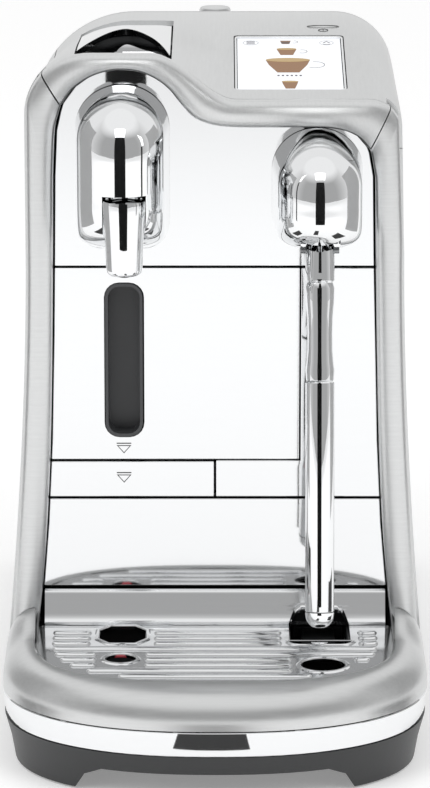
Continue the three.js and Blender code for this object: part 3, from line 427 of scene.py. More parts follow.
def soften(obj, width=0.0004, angle=32):
    """Rounds the edges sharper than angle, with flat faces kept flat."""
    bevel = obj.modifiers.new("edge", "BEVEL")
    bevel.width = width
    bevel.segments = 2
    bevel.limit_method = "ANGLE"
    bevel.angle_limit = math.radians(angle)
    even = obj.modifiers.new("even", "WEIGHTED_NORMAL")
    even.keep_sharp = False
    obj.data.polygons.foreach_set("use_smooth", [True] * len(obj.data.polygons))
    apply_all(obj)


def combine(obj, operation, others):
    """Works the other solids into the object and removes them."""
    for other in others:
        mod = obj.modifiers.new("combine", "BOOLEAN")
        mod.operation = operation
        mod.solver = "EXACT"
        mod.object = other
    apply_all(obj)
    for other in others:
        bpy.data.objects.remove(other)
    shade(obj)


def cut(obj, *cutters):
    combine(obj, "DIFFERENCE", cutters)


def fused(obj, *others):
    combine(obj, "UNION", others)


def dressed(name, node, material, width=0.0004, sharp=SHARP, trim=0.0):
    """A copy of a CAD node with a finish and rounded edges, drawn in at its rim by trim."""
    mesh = NODES[node].data.copy()
    if trim:
        lo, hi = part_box(node)
        mid = (Vector(lo) + Vector(hi)) / 2
        scale = [1 - 2 * trim / (hi[0] - lo[0]), 1, 1 - 2 * trim / (hi[2] - lo[2]), 1]
        mesh.transform(Matrix.Translation(mid) @ Matrix.Diagonal(scale) @ Matrix.Translation(-mid))
    mesh.materials.clear()
    mesh.name = name
    obj = link(name, mesh, material)
    outward(obj)
    dissolve = obj.modifiers.new("flat", "DECIMATE")
    dissolve.decimate_type = "DISSOLVE"
    dissolve.angle_limit = math.radians(0.5)
    apply_all(obj)
    shade(obj, sharp)
    if width:
        soften(obj, width)
    return stands_for(obj, node)


def body_of_node(node):
    for body, nodes in frame["record"]["behaviour"]["bodies"].items():
        if node in nodes:
            return body
    raise KeyError(node)


def stands_for(obj, *nodes):
    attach(obj, body_of_node(nodes[0]))
    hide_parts(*nodes)
    return obj


def with_body(obj, body):
    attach(obj, body)
    return obj


# ---------- materials ----------

def add_node(tree, kind, links=None, **values):
    """One node of a kind, with its sockets or properties set and its inputs linked."""
    node = tree.nodes.new(kind)
    for key, value in values.items():
        if hasattr(node, key):
            setattr(node, key, value)
        else:
            node.inputs[key.replace("_", " ")].default_value = value
    for socket, source in (links or {}).items():
        tree.links.new(source, node.inputs[socket])
    return node


def new_material(name):
    mat = bpy.data.materials.new(name)
    mat.use_nodes = True
    tree = mat.node_tree
    return mat, tree, tree.nodes["Principled BSDF"]


def streaks(tree, scale):
    """Noise stretched along one direction, as a brush or a belt leaves it, from 0 to 1."""
    coord = add_node(tree, "ShaderNodeTexCoord")
    mapping = add_node(tree, "ShaderNodeMapping", {"Vector": coord.outputs["Object"]}, Scale=scale)
    placed = {"Vector": mapping.outputs[0]}
    return add_node(tree, "ShaderNodeTexNoise", placed, Scale=1.0, Detail=3.0, Roughness=0.6)


def ramp(tree, source, low, high):
    return add_node(tree, "ShaderNodeMapRange", {"Value": source}, To_Min=low, To_Max=high)


def metal(name, hex_text, rough, spread, scale, bump, aniso=0.0, tint=0.1):
    """Steel whose surface carries fine streaks in its roughness, tone and relief."""
    mat, tree, bsdf = new_material(name)
    bsdf.inputs["Metallic"].default_value = 1.0
    bsdf.inputs["Anisotropic"].default_value = aniso
    noise = streaks(tree, scale)
    base = linear(hex_text)
    dark = tuple(c * (1 - tint) for c in base[:3]) + (1.0,)
    tone = add_node(tree, "ShaderNodeMix", {"Factor": noise.outputs["Fac"]}, data_type="RGBA")
    tone.inputs[6].default_value = dark
    tone.inputs[7].default_value = base
    tree.links.new(tone.outputs[2], bsdf.inputs["Base Color"])
    rough_map = ramp(tree, noise.outputs["Fac"], rough - spread, rough + spread)
    tree.links.new(rough_map.outputs[0], bsdf.inputs["Roughness"])
    if bump:
        height = {"Height": noise.outputs["Fac"]}
        relief = add_node(tree, "ShaderNodeBump", height, Strength=bump, Distance=0.00005)
        tree.links.new(relief.outputs[0], bsdf.inputs["Normal"])
    return mat


def moulded(name, hex_text, rough, grain=1400.0, bump=0.25):
    """Moulded plastic or rubber: an even colour with spark-eroded grain that breaks the gloss."""
    mat, tree, bsdf = new_material(name)
    coord = add_node(tree, "ShaderNodeTexCoord")
    fine = add_node(tree, "ShaderNodeTexNoise", {"Vector": coord.outputs["Object"]}, Scale=grain, Detail=2.0)
    broad = add_node(tree, "ShaderNodeTexNoise", {"Vector": coord.outputs["Object"]}, Scale=22.0, Detail=2.0)
    base = linear(hex_text)
    tone = add_node(tree, "ShaderNodeMix", {"Factor": broad.outputs["Fac"]}, data_type="RGBA")
    tone.inputs[6].default_value = tuple(c * 0.88 for c in base[:3]) + (1.0,)
    tone.inputs[7].default_value = tuple(min(1.0, c * 1.1) for c in base[:3]) + (1.0,)
    tree.links.new(tone.outputs[2], bsdf.inputs["Base Color"])
    rough_map = ramp(tree, fine.outputs["Fac"], rough - 0.06, rough + 0.06)
    tree.links.new(rough_map.outputs[0], bsdf.inputs["Roughness"])
    relief = add_node(tree, "ShaderNodeBump", {"Height": fine.outputs["Fac"]}, Strength=bump, Distance=0.0001)
    tree.links.new(relief.outputs[0], bsdf.inputs["Normal"])
    return mat


def lit(name, hex_text, strength):
    """A lit screen layer: the panel's own light behind smooth glass."""
    mat, tree, bsdf = new_material(name)
    colour = linear(hex_text)
    coord = add_node(tree, "ShaderNodeTexCoord")
    noise = add_node(tree, "ShaderNodeTexNoise", {"Vector": coord.outputs["Object"]}, Scale=18.0)
    glow = add_node(tree, "ShaderNodeMix", {"Factor": noise.outputs["Fac"]}, data_type="RGBA")
    glow.inputs[6].default_value = tuple(c * 0.94 for c in colour[:3]) + (1.0,)
    glow.inputs[7].default_value = colour
    tree.links.new(glow.outputs[2], bsdf.inputs["Emission Color"])
    bsdf.inputs["Emission Strength"].default_value = strength
    bsdf.inputs["Base Color"].default_value = tuple(c * 0.2 for c in colour[:3]) + (1.0,)
    bsdf.inputs["Roughness"].default_value = 0.12
    return mat


MATS = {}


def build_materials():
    colours = bpy.context.scene.coffee_colours
    # Satin stainless, belt brushed along X: soft bands of light with fine streaks.
    MATS["brushed_x"] = metal("steel_brushed_x", colours.brushed, 0.34, 0.08, (12, 480, 700), 0.45, 0.4, 0.18)
    # The same steel brushed from front to back over the head and roof.
    MATS["brushed_y"] = metal("steel_brushed_y", colours.brushed, 0.34, 0.08, (800, 10, 480), 0.45, 0.4, 0.16)
    # Bright annealed sheet, buffed: a near perfect mirror with a trace of polishing lines.
    MATS["mirror"] = metal("steel_mirror", colours.mirror, 0.045, 0.02, (40, 40, 700), 0.0, 0.0, 0.015)
    # Decorative chrome plating on castings: the sharpest reflection of all.
    MATS["chrome"] = metal("chrome_plate", colours.chrome, 0.04, 0.015, (60, 60, 60), 0.0, 0.0, 0.02)
    # Stamped and electropolished tray steel.
    MATS["tray"] = metal("steel_tray", "#eeeff0", 0.09, 0.03, (20, 600, 600), 0.0, 0.0, 0.03)
    # Turned and cast metal of the works.
    MATS["satin"] = metal("metal_turned", "#9fa1a3", 0.38, 0.08, (90, 90, 900), 0.3)
    # Moulded ABS in dark grey: a soft sheen, broken up by spark-eroded grain.
    MATS["plastic"] = moulded("plastic_dark", colours.plastic, 0.42)
    MATS["black"] = moulded("plastic_black", colours.black, 0.38)
    MATS["grip"] = moulded("plastic_grip", "#434446", 0.4)
    MATS["red"] = moulded("plastic_red", colours.red, 0.4)
    # Moulded silicone rubber: dull, with a coarse grain.
    MATS["rubber"] = moulded("rubber_black", "#1a1a1b", 0.8, 900.0, 0.5)
    # Glass-epoxy circuit board under green solder resist.
    MATS["board"] = moulded("circuit_board", "#1f5a34", 0.5, 500.0, 0.5)
    # Pad-printed ink: flat and dull beside the steel.
    MATS["print"] = moulded("print_grey", "#4a4a4b", 0.5)
    # A backlit display under glass: even light, and colours that are weaker where the drawing is dark.
    MATS["screen"] = lit("screen_white", "#f3f5f9", 0.85)
    MATS["coffee"] = lit("screen_coffee", "#a06c34", 0.5)
    MATS["crema"] = lit("screen_crema", "#c9a86c", 0.6)
    MATS["brown"] = lit("screen_espresso", "#5a3a22", 0.5)
    MATS["ink"] = lit("screen_ink", "#5d5966", 0.5)
    MATS["ring_grey"] = lit("screen_grey", "#96979a", 0.5)
    tank, tree, bsdf = new_material("tank_smoked")
    # Smoked copolyester: clear, slightly grey, with a faint sink-mark waviness.
    bsdf.inputs["Base Color"].default_value = linear("#9aa0a4")
    bsdf.inputs["Transmission Weight"].default_value = 0.7
    bsdf.inputs["IOR"].default_value = 1.5
    coord = add_node(tree, "ShaderNodeTexCoord")
    wave = add_node(tree, "ShaderNodeTexNoise", {"Vector": coord.outputs["Object"]}, Scale=14.0)
    rough_map = ramp(tree, wave.outputs["Fac"], 0.06, 0.2)
    tree.links.new(rough_map.outputs[0], bsdf.inputs["Roughness"])
    MATS["tank"] = tank


# ---------- Geometry Nodes ----------

def new_tree(name, inputs):
    """A tree with the named inputs, each of a kind of socket, and one geometry output."""
    tree = bpy.data.node_groups.new(name, "GeometryNodeTree")
    for label, kind in inputs.items():
        tree.interface.new_socket(label, in_out="INPUT", socket_type="NodeSocket" + kind)
    tree.interface.new_socket("Geometry", in_out="OUTPUT", socket_type="NodeSocketGeometry")
    return tree


def painted(tree, solid, start):
    """Ends a tree: its plain mesh takes the material input."""
    links = {"Geometry": solid.outputs[0], "Material": start.outputs["Material"]}
    finish = add_node(tree, "GeometryNodeSetMaterial", links)
    add_node(tree, "NodeGroupOutput", {"Geometry": finish.outputs[0]})


def stored(tree, name):
    """A number stored on each point under a name."""
    node = add_node(tree, "GeometryNodeInputNamedAttribute", data_type="FLOAT")
    node.inputs["Name"].default_value = name
    return node


def rib_tree():
    """Ribs along X on a set of points: each point's length stretches the middle of its rib."""
    tree = new_tree("raised_ribs", {
        "Geometry": "Geometry", "Width": "Float", "Height": "Float", "Material": "Material"})
    start = add_node(tree, "NodeGroupInput")
    ball = add_node(tree, "GeometryNodeMeshUVSphere", Segments=24, Rings=12, Radius=0.5)
    length = stored(tree, "rib_length")
    points = add_node(tree, "GeometryNodeMeshToPoints", {"Mesh": start.outputs["Geometry"]})
    size = add_node(tree, "ShaderNodeCombineXYZ", {
        "X": start.outputs["Width"], "Y": start.outputs["Width"], "Z": start.outputs["Height"]})
    placed = add_node(tree, "GeometryNodeInstanceOnPoints", {
        "Points": points.outputs[0], "Instance": ball.outputs["Mesh"], "Scale": size.outputs[0]})
    solid = add_node(tree, "GeometryNodeRealizeInstances", {"Geometry": placed.outputs[0]})
    place = add_node(tree, "GeometryNodeInputPosition")
    centre = stored(tree, "rib_middle")
    parts = add_node(tree, "ShaderNodeSeparateXYZ", {"Vector": place.outputs[0]})
    ends = {0: parts.outputs["X"], 1: centre.outputs[0]}
    away = add_node(tree, "ShaderNodeMath", ends, operation="SUBTRACT")
    sign = add_node(tree, "ShaderNodeMath", {0: away.outputs[0]}, operation="SIGN")
    push = add_node(tree, "ShaderNodeMath", {0: sign.outputs[0], 1: length.outputs[0]}, operation="MULTIPLY")
    shift = add_node(tree, "ShaderNodeCombineXYZ", {"X": push.outputs[0]})
    moved = add_node(tree, "GeometryNodeSetPosition", {
        "Geometry": solid.outputs[0], "Offset": shift.outputs[0]})
    painted(tree, moved, start)
    return tree


def louvre_tree():
    """A row of equal slats, from a count, a pitch and a slat size."""
    tree = new_tree("slat_row", {
        "Count": "Int", "Pitch": "Vector", "Size": "Vector", "Start": "Vector", "Material": "Material"})
    start = add_node(tree, "NodeGroupInput")
    row = add_node(tree, "GeometryNodeMeshLine", {
        "Count": start.outputs["Count"], "Start Location": start.outputs["Start"],
        "Offset": start.outputs["Pitch"]})
    slat = add_node(tree, "GeometryNodeMeshCube", {"Size": start.outputs["Size"]})
    placed = add_node(tree, "GeometryNodeInstanceOnPoints", {
        "Points": row.outputs[0], "Instance": slat.outputs["Mesh"]})
    solid = add_node(tree, "GeometryNodeRealizeInstances", {"Geometry": placed.outputs[0]})
    painted(tree, solid, start)
    return tree


def from_tree(name, tree, mesh, **inputs):
    """A plain mesh made by a Geometry Nodes tree with the named inputs."""
    obj = link(name, mesh)
    mod = obj.modifiers.new("nodes", "NODES")
    mod.node_group = tree
    for item in tree.interface.items_tree:
        if item.item_type == "SOCKET" and item.in_out == "INPUT" and item.name in inputs:
            mod[item.identifier] = inputs[item.name]
    apply_all(obj)
    return obj


# ---------- pieces ----------

def bar_ring(xi, zi, xo, zo):
    """A closed section of a frame bar: a flat inner wall, a rounded face and a rounded outer edge."""
    curve = [(0, FRAME_BACK), (0, FRAME_FRONT + 5.2)]
    for k in range(1, 12):
        a = k / 12 * math.pi
        t = (1 - math.cos(a)) / 2
        bulge = math.sin(a) ** 0.55
        curve.append((t, FRAME_FRONT + mix(5.2, 6.5, t) * (1 - bulge)))
    curve += [(1, FRAME_FRONT + 6.5), (1, FRAME_BACK)]
    return [(mix(xi, xo, t), y, mix(zi, zo, t)) for t, y in curve]


def corner_ring(point):
    xi, zi, xo = point
    return bar_ring(xi, zi, xo, on_roof(xo, FRAME_FRONT + 7))


def post_ring(point):
    x, z = point
    return bar_ring(x, z, math.copysign(side_at(z), x), z)


def build_frame():
    brushed = MATS["brushed_x"]
    left = [post_ring(p) for p in catmull([(-86, FRAME_FOOT), *LEFT_POST])]
    left += [corner_ring(p) for p in catmull(LEFT_CORNER)]
    stands_for(loft("post_left", left, brushed, 30), "frame_post_left")
    right = [corner_ring(p) for p in catmull(RIGHT_CORNER)]
    right += [post_ring(p) for p in catmull([*RIGHT_POST, (86, FRAME_FOOT)])]
    stands_for(loft("post_right", right, brushed, 30), "frame_post_right")


def slope_place(x, y, tilt):
    """Lays a flat piece on the sloping part of the roof."""
    return Matrix.Translation(Vector((x, y, roof_at(x, y))) * MM) @ Matrix.Rotation(tilt, 4, "X")


def slab_on_slope(name, outline, place, tilt):
    """A block that cuts a recess of an outline into the slope."""
    obj = prism(name, outline, -12, 8, None)
    obj.data.transform(slope_place(*place, tilt))
    return obj


def build_head():
    brushed = MATS["brushed_y"]
    band = loft("head", [corner_ring(p) for p in catmull(HEAD_EDGE)], brushed)
    depths = [FRAME_FRONT + 7.6, -89, -86.9, *[BODY_START + i * 4.35 for i in range(28)], HEAD_BACK]
    outer = [roof_part(y, 0.03) for y in depths]
    skin = wall("head_skin", outer, [roof_part(y, HEAD_WALL) for y in depths], brushed)
    cut(skin, box_mesh("left_end", (-95, -110, 250), (-78.8, BODY_START, HEIGHT)),
        box_mesh("right_end", (80, -110, 250), (95, BODY_START, HEIGHT)))
    fused(band, skin)
    cut(band, *lever_openings(),
        slab_on_slope("recess", rounded(-26.6, 26.6, -36.1, 36.1, 2.6), SCREEN_AT, SLOPE),
        slab_on_slope("slot", rounded(-7.9, 7.9, -2.7, 2.7, 2.6), POWER_AT, SLOPE * 0.9))
    stands_for(band, "head_fascia")


def lever_openings():
    """The deep opening under the lever and the shallow one over the frame bar."""
    x0, x1 = LEVER[0] - 0.8, LEVER[1] + 0.8
    deep = box_mesh("deep", (x0, -79, 305), (x1, AXLE[0] + 15, 340))
    return deep, prism("shallow", rounded(x0, x1, -93.4, -70, 2.5), HEIGHT - 6, 340, None)


def build_shell():
    depths = [*[BODY_START + i * 6.2 for i in range(32)], BODY_BACK]
    outer = [body_section(y, 0, FRAME_FOOT) for y in depths]
    inner = [body_section(y, BODY_WALL, FRAME_FOOT) for y in depths]
    shell = wall("body_wrap", outer, inner, MATS["brushed_y"])
    rooms = [head_room(y) for y in [-110, *[y for y in depths if y < HEAD_BACK - 2], HEAD_BACK + 0.4]]
    cut(shell, loft("room", rooms, None), box_mesh("low", (-20, -110, 285), (76, -20, 300)))
    stands_for(shell, "body_shell")
    dressed("back_cover", "rear_cover", MATS["black"])
    dressed("front_wall", "front_bulkhead", MATS["black"])


def between(a, b, t):
    """A point in plan from a to b."""
    return mix(a[0], b[0], t), mix(a[1], b[1], t)


def build_ring():
    count = 96
    rim = rim_path(85.2, -189.2, GRID_POWER, count)
    rim_in = rim_path(84.2, -188, GRID_POWER, count)
    plan = plan_front(0, 0, count)
    plan_in = plan_front(4.5, 4.5, count)
    rear = FRAME_FRONT - 0.5
    outer, inner = [], []

    def station(base, rim_at, lip, inside, up):
        """One section: a domed face from the base to the rim, and a back from the floor to the lip."""
        high = GRID_TOP + 0.8 + up
        face = [(*base, 34.9)]
        for k in range(15):
            a = k / 14 * math.pi / 2
            t = (1 - math.cos(a)) ** 1.15 * 0.96
            face.append((*between(base, rim_at, t), mix(37.5, high, math.sin(a) ** 1.1)))
        face.append((*between(base, rim_at, 0.985), high - 0.1))
        face.append((*between(base, rim_at, 1), high - 0.5))
        outer.append(face)
        back = [(*inside, 34.9), (*inside, 38)]
        back += [(*between(inside, lip, k / 11), 38 + 6 * k / 11) for k in range(1, 12)]
        inner.append(back + [(*lip, z) for z in (45, 46, 47, high - 0.7)])

    def tail(side):
        """The end of the ring, which rises as it runs back beside the frame."""
        k = 0 if side < 0 else count
        steps = [(rear - 24 * j / 8, 8 * smooth(1 - j / 8)) for j in range(9)]
        for y, up in (steps if side < 0 else reversed(steps)):
            rim_at = (side * mix(85.2, 85.6, up / 8), y)
            station((plan[k][0], y), rim_at, (side * 84.3, y), (plan_in[k][0], y), up)

    tail(-1)
    for k in range(count + 1):
        station(plan[k], rim[k], rim_in[k], plan_in[k], 0)
    tail(1)
    stands_for(wall("front_ring", outer, inner, MATS["brushed_x"], 40), "base_ring")


def plan_ring(z, inset, side_inset):
    """The whole outline of the base at height z."""
    ring = [(x, y, z) for x, y in plan_front(inset, side_inset, ROUND_SIDES)]
    hw, rear = 100 - side_inset, 96.8 - side_inset
    yb, r = 207 - inset, 22
    ring += [(hw, -110, z), (rear, -40, z)]
    for start, sx in ((0, 1), (90, -1)):
        for i in range(13):
            a = math.radians(start + 90 * i / 12)
            ring.append((sx * (rear - r) + r * math.cos(a), yb - r + r * math.sin(a), z))
    ring += [(-rear, -40, z), (-hw, -110, z)]
    return ring


def build_base():
    levels = ((22.7, 0.8, 1.6), (23.2, 0.3, 1.2), (28.5, 0.05, 0.4), (33.9, 0, 0), (34.4, 0.5, 0.5))
    band = loft("trim_band", [plan_ring(*level) for level in levels], MATS["chrome"], 25)
    cut(band, loft("core", [plan_ring(20, 3.5, 3.5), plan_ring(38, 3.5, 3.5)], None))
    stands_for(band, "base_trim_band")
    dressed("base_body", "base_chassis", MATS["plastic"], 0.0008, 50)
    for name in ("front_left", "front_right", "rear_left", "rear_right"):
        dressed("pad_" + name, "foot_" + name, MATS["rubber"], 0.0004, 30)
    dressed("gland", "cord_gland", MATS["rubber"], 0.0003)
    slats = from_tree(
        "base_louvres", louvre_tree(), bpy.data.meshes.new("slats"), Material=MATS["plastic"],
        Count=bpy.context.scene.coffee_sizes.louvre_count, Pitch=(0, 0.011, 0),
        Size=(0.09, 0.003, 0.004), Start=(0, 0.0, 0.0288))
    with_body(slats, "machine")


def build_panels():
    edge = bpy.context.scene.coffee_sizes.edge
    mirror = MATS["mirror"]
    for name, node in (("panel_upper", "upper_front_panel"), ("panel_wand", "wand_panel"),
                       ("panel_lower", "lower_front_panel"), ("bin_face", "capsule_bin_front"),
                       ("shelf_face", "cup_shelf_front")):
        dressed(name, node, mirror, edge, trim=0.0003)
    dressed("bin_grip", "capsule_bin_grip", MATS["grip"], 0.0005, 50)
    dressed("bin_tub", "capsule_bin_tub", MATS["black"])
    dressed("shelf_plate", "cup_shelf_tray", MATS["plastic"])
    for name, z, body in (("mark_bin", 136.3, "pod_bin"), ("mark_shelf", 121.9, "cup_shelf")):
        with_body(pull_mark(name, -43.4, z), body)


def panel_at(z):
    """Depth of the front panels' face at height z."""
    return PANEL_FRONT + PANEL_LEAN * (z - PANEL_BOTTOM)


def pull_mark(name, x, z):
    """A printed pull-out mark: a bar over an open triangle."""
    y = panel_at(z)
    parts = [[(-3.5, 2.1), (3.5, 2.1), (3.5, 2.6), (-3.5, 2.6)],
             [(-3.5, 1.4), (3.5, 1.4), (2.9, 1.0), (-2.9, 1.0)],
             [(-3.5, 1.4), (-2.8, 1.1), (0, -2.0), (0, -2.6)],
             [(3.5, 1.4), (0, -2.6), (0, -2.0), (2.8, 1.1)]]
    return raised(name, parts, 0.1, 0.02, MATS["print"], lambda a, b, h: (x + a, y - h, z + b))


def dome(name, x, half, curve, back, material):
    """A standing half capsule: level slices whose reach follows curve and whose width follows the arch."""
    low, crown, foot = curve[0][0], curve[-1][0], 12
    rings = []
    for height, depth in catmull(curve, 8):
        z, reach = min(max(height, low), crown), max(0.3, depth)
        w = half
        if z > crown - half:
            w = math.sqrt(max(0.2, half * half - (z - crown + half) ** 2))
        elif z < low + foot:
            w = half - foot + math.sqrt(max(0.2, foot * foot - (low + foot - z) ** 2))
        nose = min(reach * 0.9, 23.0)
        ring = [(x - w * (1 + 0.09 * (1 - k / 8)), back - (reach - nose) * k / 8, z) for k in range(8)]
        ring += [(x - w * math.cos(a), back - reach + nose - nose * math.sin(a), z)
                 for a in [math.pi * k / 56 for k in range(57)]]
        ring += [(x + w * (1 + 0.09 * (k + 1) / 8), back - (reach - nose) * (7 - k) / 8, z)
                 for k in range(8)]
        rings.append(ring)
    return loft(name, rings, material, 50)


def build_heads():
    chrome = MATS["chrome"]
    foot = (*SPOUT_AT, 231.8)
    coffee = dome("coffee_dome", COFFEE_X, 20.3, COFFEE_NOSE, panel_at(232) - 0.4, chrome)
    cut(coffee, turned("socket", [(10.1, 208), (10.1, 268)], None, (*SPOUT_AT, 0)))
    stands_for(coffee, "coffee_head")
    spout = turned("spout", [
        (3.2, 0), (7.0, 0), (7.5, 0.3), (8.1, 1.2), (8.35, 3), (8.8, 14), (9.3, 22), (9.6, 26),
        (9.9, 33), (9.6, 34.4), (3.2, 35)], chrome, foot)
    cut(spout, turned("outlet", [(3.1, -2), (3.1, 12)], None, foot))
    stands_for(spout, "coffee_spout")
    dressed("spout_core", "spout_nozzle", MATS["black"], 0.0002)
    steam = dome("steam_dome", STEAM_X, 19.6, STEAM_NOSE, panel_at(236) - 0.4, chrome)
    x, y, _ = WAND
    cut(steam, box_mesh("joint_room", (x - 9.1, y - 13.6, 226), (x + 9.1, y + 11.4, 254)))
    stands_for(steam, "steam_head")


def wand_part(name, profile, node):
    """A turned part of the wand, from (radius, distance from the pivot) pairs."""
    stands_for(turned(name, profile, MATS["chrome"], WAND, WAND_TILT), node)


def build_wand():
    r, end = 6.7, -172.0
    wand_part("wand_collar", [
        (0, -12), (r - 0.5, -12), (r, -11.5), (r, 4), (r - 1.4, 7), (r - 3.5, 8.2), (0, 8.5)], "wand_joint")
    wand_part("wand_lever", [
        (0, -58), (r - 0.8, -58), (r - 0.3, -57.4), (r, -53), (r - 0.5, -49), (r - 0.9, -44), (r - 1.0, -36),
        (r - 0.8, -28), (r - 0.2, -21), (r, -15), (r - 0.7, -12.9), (r - 1, -12.4), (0, -12.4)], "wand_grip")
    wand_part("wand_tube", [
        (0, end + 7.4), (r - 0.2, end + 7.4), (r, end + 7.8), (r, -58.8), (r - 0.3, -58.4), (0, -58.4)],
        "steam_wand")
    wand_part("wand_nose", [
        (1.1, end + 2), (1.1, end), (2.6, end), (3.9, end + 0.6), (5, end + 1.6), (5.9, end + 3),
        (6.4, end + 4.4), (r - 0.1, end + 6), (r, end + 7), (0, end + 7)], "wand_tip")
    dressed("wand_pin", "wand_pivot", MATS["satin"], 0.0002)


def lever_plate():
    """The lever's plate: it follows the roof and thins towards its two tips, with a notch between them."""
    x0, x1 = LEVER
    mid, half = (x0 + x1) / 2, (x1 - x0) / 2
    columns, rows = 48, 24
    outer, inner = [], []
    for i in range(columns + 1):
        x = mix(x0, x1, i / columns)
        front = mix(LEVER_NOTCH, LEVER_TIP, abs((x - mid) / half) ** 1.7)
        top, under = [], []
        for k in range(rows + 1):
            t = k / rows
            y = mix(front, AXLE[0], t)
            nose = -0.7 * max(0.0, 1 - t * 14) ** 2
            z = on_roof(x, y) + 0.5 * math.sin(math.pi * i / columns) * (1 - t)
            top.append((x, y, z - nose))
            under.append((x, y + 1.6 * (1 - t), z - mix(2.2, 5, t)))
        outer.append(top)
        inner.append(under)
    return wall("lever", outer, inner, MATS["chrome"])


def build_lever():
    lever = lever_plate()
    rings = []
    for i in range(25):
        x = mix(*LEVER, i / 24)
        r = on_roof(x, AXLE[0]) - AXLE[1] - 0.12
        rings.append([(x, y, z) for y, z in circle(*AXLE, r, ROUND_SIDES)])
    fused(lever, loft("hub", rings, MATS["chrome"]))
    bore = prism("bore", circle(*AXLE, 2.25, 32), -90, 0, None)
    bore.data.transform(ACROSS)
    cut(lever, bore)
    stands_for(lever, "capsule_lever")
    dressed("lever_pin", "lever_axle", MATS["satin"], 0.0002)
    dressed("lever_recess", "lever_well", MATS["black"])
    low, high = (LEVER[0] - 0.5, -93, HEIGHT - 5.95), (LEVER[1] + 0.5, -79.2, HEIGHT - 5.75)
    with_body(box_mesh("lever_sill", low, high, MATS["rubber"]), "machine")


def screen_shape(name, parts, lift, material):
    """Flat drawn shapes on the screen, given in millimetres from its centre."""
    obj = raised(name, parts, lift, lift + 0.04, material)
    obj.data.transform(slope_place(*SCREEN_AT, SLOPE))
    return with_body(obj, "machine")


def ellipse(cx, cy, rx, ry):
    turns = [math.radians(360 * i / 28) for i in range(28)]
    return [(cx + rx * math.cos(a), cy + ry * math.sin(a)) for a in turns]


def hoop(cx, cy, rx, ry, w, start=0, stop=360):
    """An open ring of line width w, as short four-sided pieces."""
    n = 20
    out = []
    for i in range(n):
        a, b = [math.radians(mix(start, stop, (i + k) / n)) for k in (0, 1)]
        out.append([
            (cx + rx * math.cos(a), cy + ry * math.sin(a)), (cx + rx * math.cos(b), cy + ry * math.sin(b)),
            (cx + (rx - w) * math.cos(b), cy + (ry - w) * math.sin(b)),
            (cx + (rx - w) * math.cos(a), cy + (ry - w) * math.sin(a))])
    return out


def cup(x, y, w, h, base):
    """A tapered cup of half width w, half height h and half width base at its foot."""
    waist = y + h * 0.2
    return [(x - w, y + h), (x + w, y + h), (x + w * 0.86, waist), (x + base, y - h),
            (x - base, y - h), (x - w * 0.86, waist)]


def build_screen():
    dressed("screen_glass", "touch_display", MATS["screen"], 0.0003)
    dressed("screen_rim", "display_bezel", MATS["chrome"], 0.0003)
    dressed("screen_board", "display_board", MATS["board"], 0)
    dressed("power_key", "power_button", MATS["brushed_y"], 0.0002)
    draw_cups(-0.98)
    draw_signs(-0.98)
    power_sign("power_outline", hoop(0, 0, 7.4, 2.2, 0.32), "power_key")
    stroke = [(-0.2, -5.9), (0.2, -5.9), (0.2, -4.4), (-0.2, -4.4)]
    power_sign("power_mark", [*hoop(0, -5.6, 2.5, 1.9, 0.32), stroke], "machine")


def draw_cups(lift):
    """The drinks to choose from, the largest one in the middle."""
    screen_shape("screen_cups", [
        cup(-1.6, 28.6, 2.6, 2.2, 1.7), cup(-1.2, 15.6, 4.8, 4, 3), cup(-0.8, -3.2, 10.6, 8.2, 5.2),
        cup(-0.2, -27.6, 3.9, 4.6, 2.2)], lift, MATS["coffee"])
    foam = [ellipse(-1.2, 19.6, 4.8, 1.3), ellipse(-0.8, 5, 10.6, 2.6), ellipse(-0.2, -23.2, 3.9, 1.0)]
    screen_shape("screen_foam", foam, lift + 0.05, MATS["crema"])
    shot = [(-4.0, 29.4), (0.8, 29.4), (0.3, 26.6), (-3.5, 26.6)]
    screen_shape("screen_shot", [shot], lift + 0.05, MATS["brown"])
    handles = hoop(6.2, 16.4, 2.6, 2.3, 0.35, -120, 110) + hoop(12.0, -1.2, 4.8, 4.2, 0.4, -125, 100)
    handles += hoop(2.6, 29.2, 1.9, 1.6, 0.3, -110, 90)
    screen_shape("screen_handles", handles, lift, MATS["ring_grey"])


def draw_signs(lift):
    """The menu and home signs and the row of dots that stands for the drink's name."""
    bars = [[(-20.4, y), (-16.4, y), (-16.4, y + 0.7), (-20.4, y + 0.7)] for y in (26.2, 27.7, 29.2)]
    home = [[(16.2, 27.6), (18.2, 30.2), (18.2, 29.4), (16.9, 27.6)],
            [(20.2, 27.6), (19.5, 27.6), (18.2, 29.4), (18.2, 30.2)],
            [(16.6, 25.6), (19.8, 25.6), (19.8, 26.1), (16.6, 26.1)]]
    beads = [[(x, -16.1), (x + 1.1, -16.1), (x + 1.1, -14.6), (x, -14.6)]
             for x in (-6.1, -4, -1.9, 0.2, 2.3, 4.4)]
    screen_shape("screen_icons", bars + home + beads, lift, MATS["ink"])
    wells = hoop(-18.4, 27.9, 3.8, 3.0, 0.22) + hoop(18.2, 27.9, 3.4, 3.0, 0.22)
    screen_shape("screen_wells", wells, lift, MATS["ring_grey"])


def power_sign(name, parts, body):
    """Printed lines on the slope around the power key."""
    sign = raised(name, parts, 0.0, 0.12, MATS["print"])
    for vert in sign.data.vertices:
        x, y = POWER_AT[0] + vert.co.x / MM, POWER_AT[1] + vert.co.y / MM
        vert.co = Vector((x, y, roof_at(x, y) + 0.03 + vert.co.z / MM)) * MM
    with_body(sign, body)


def tray_outline():
    """The grid's outline, rounded in front and straight behind."""
    back = [(GRID_HALF, -101.2), (RIDGE_HALF, -99.6), (RIDGE_HALF, -89)]
    return rim_path(GRID_HALF, -187.6, GRID_POWER, 64) + back + [(-x, y) for x, y in reversed(back)]


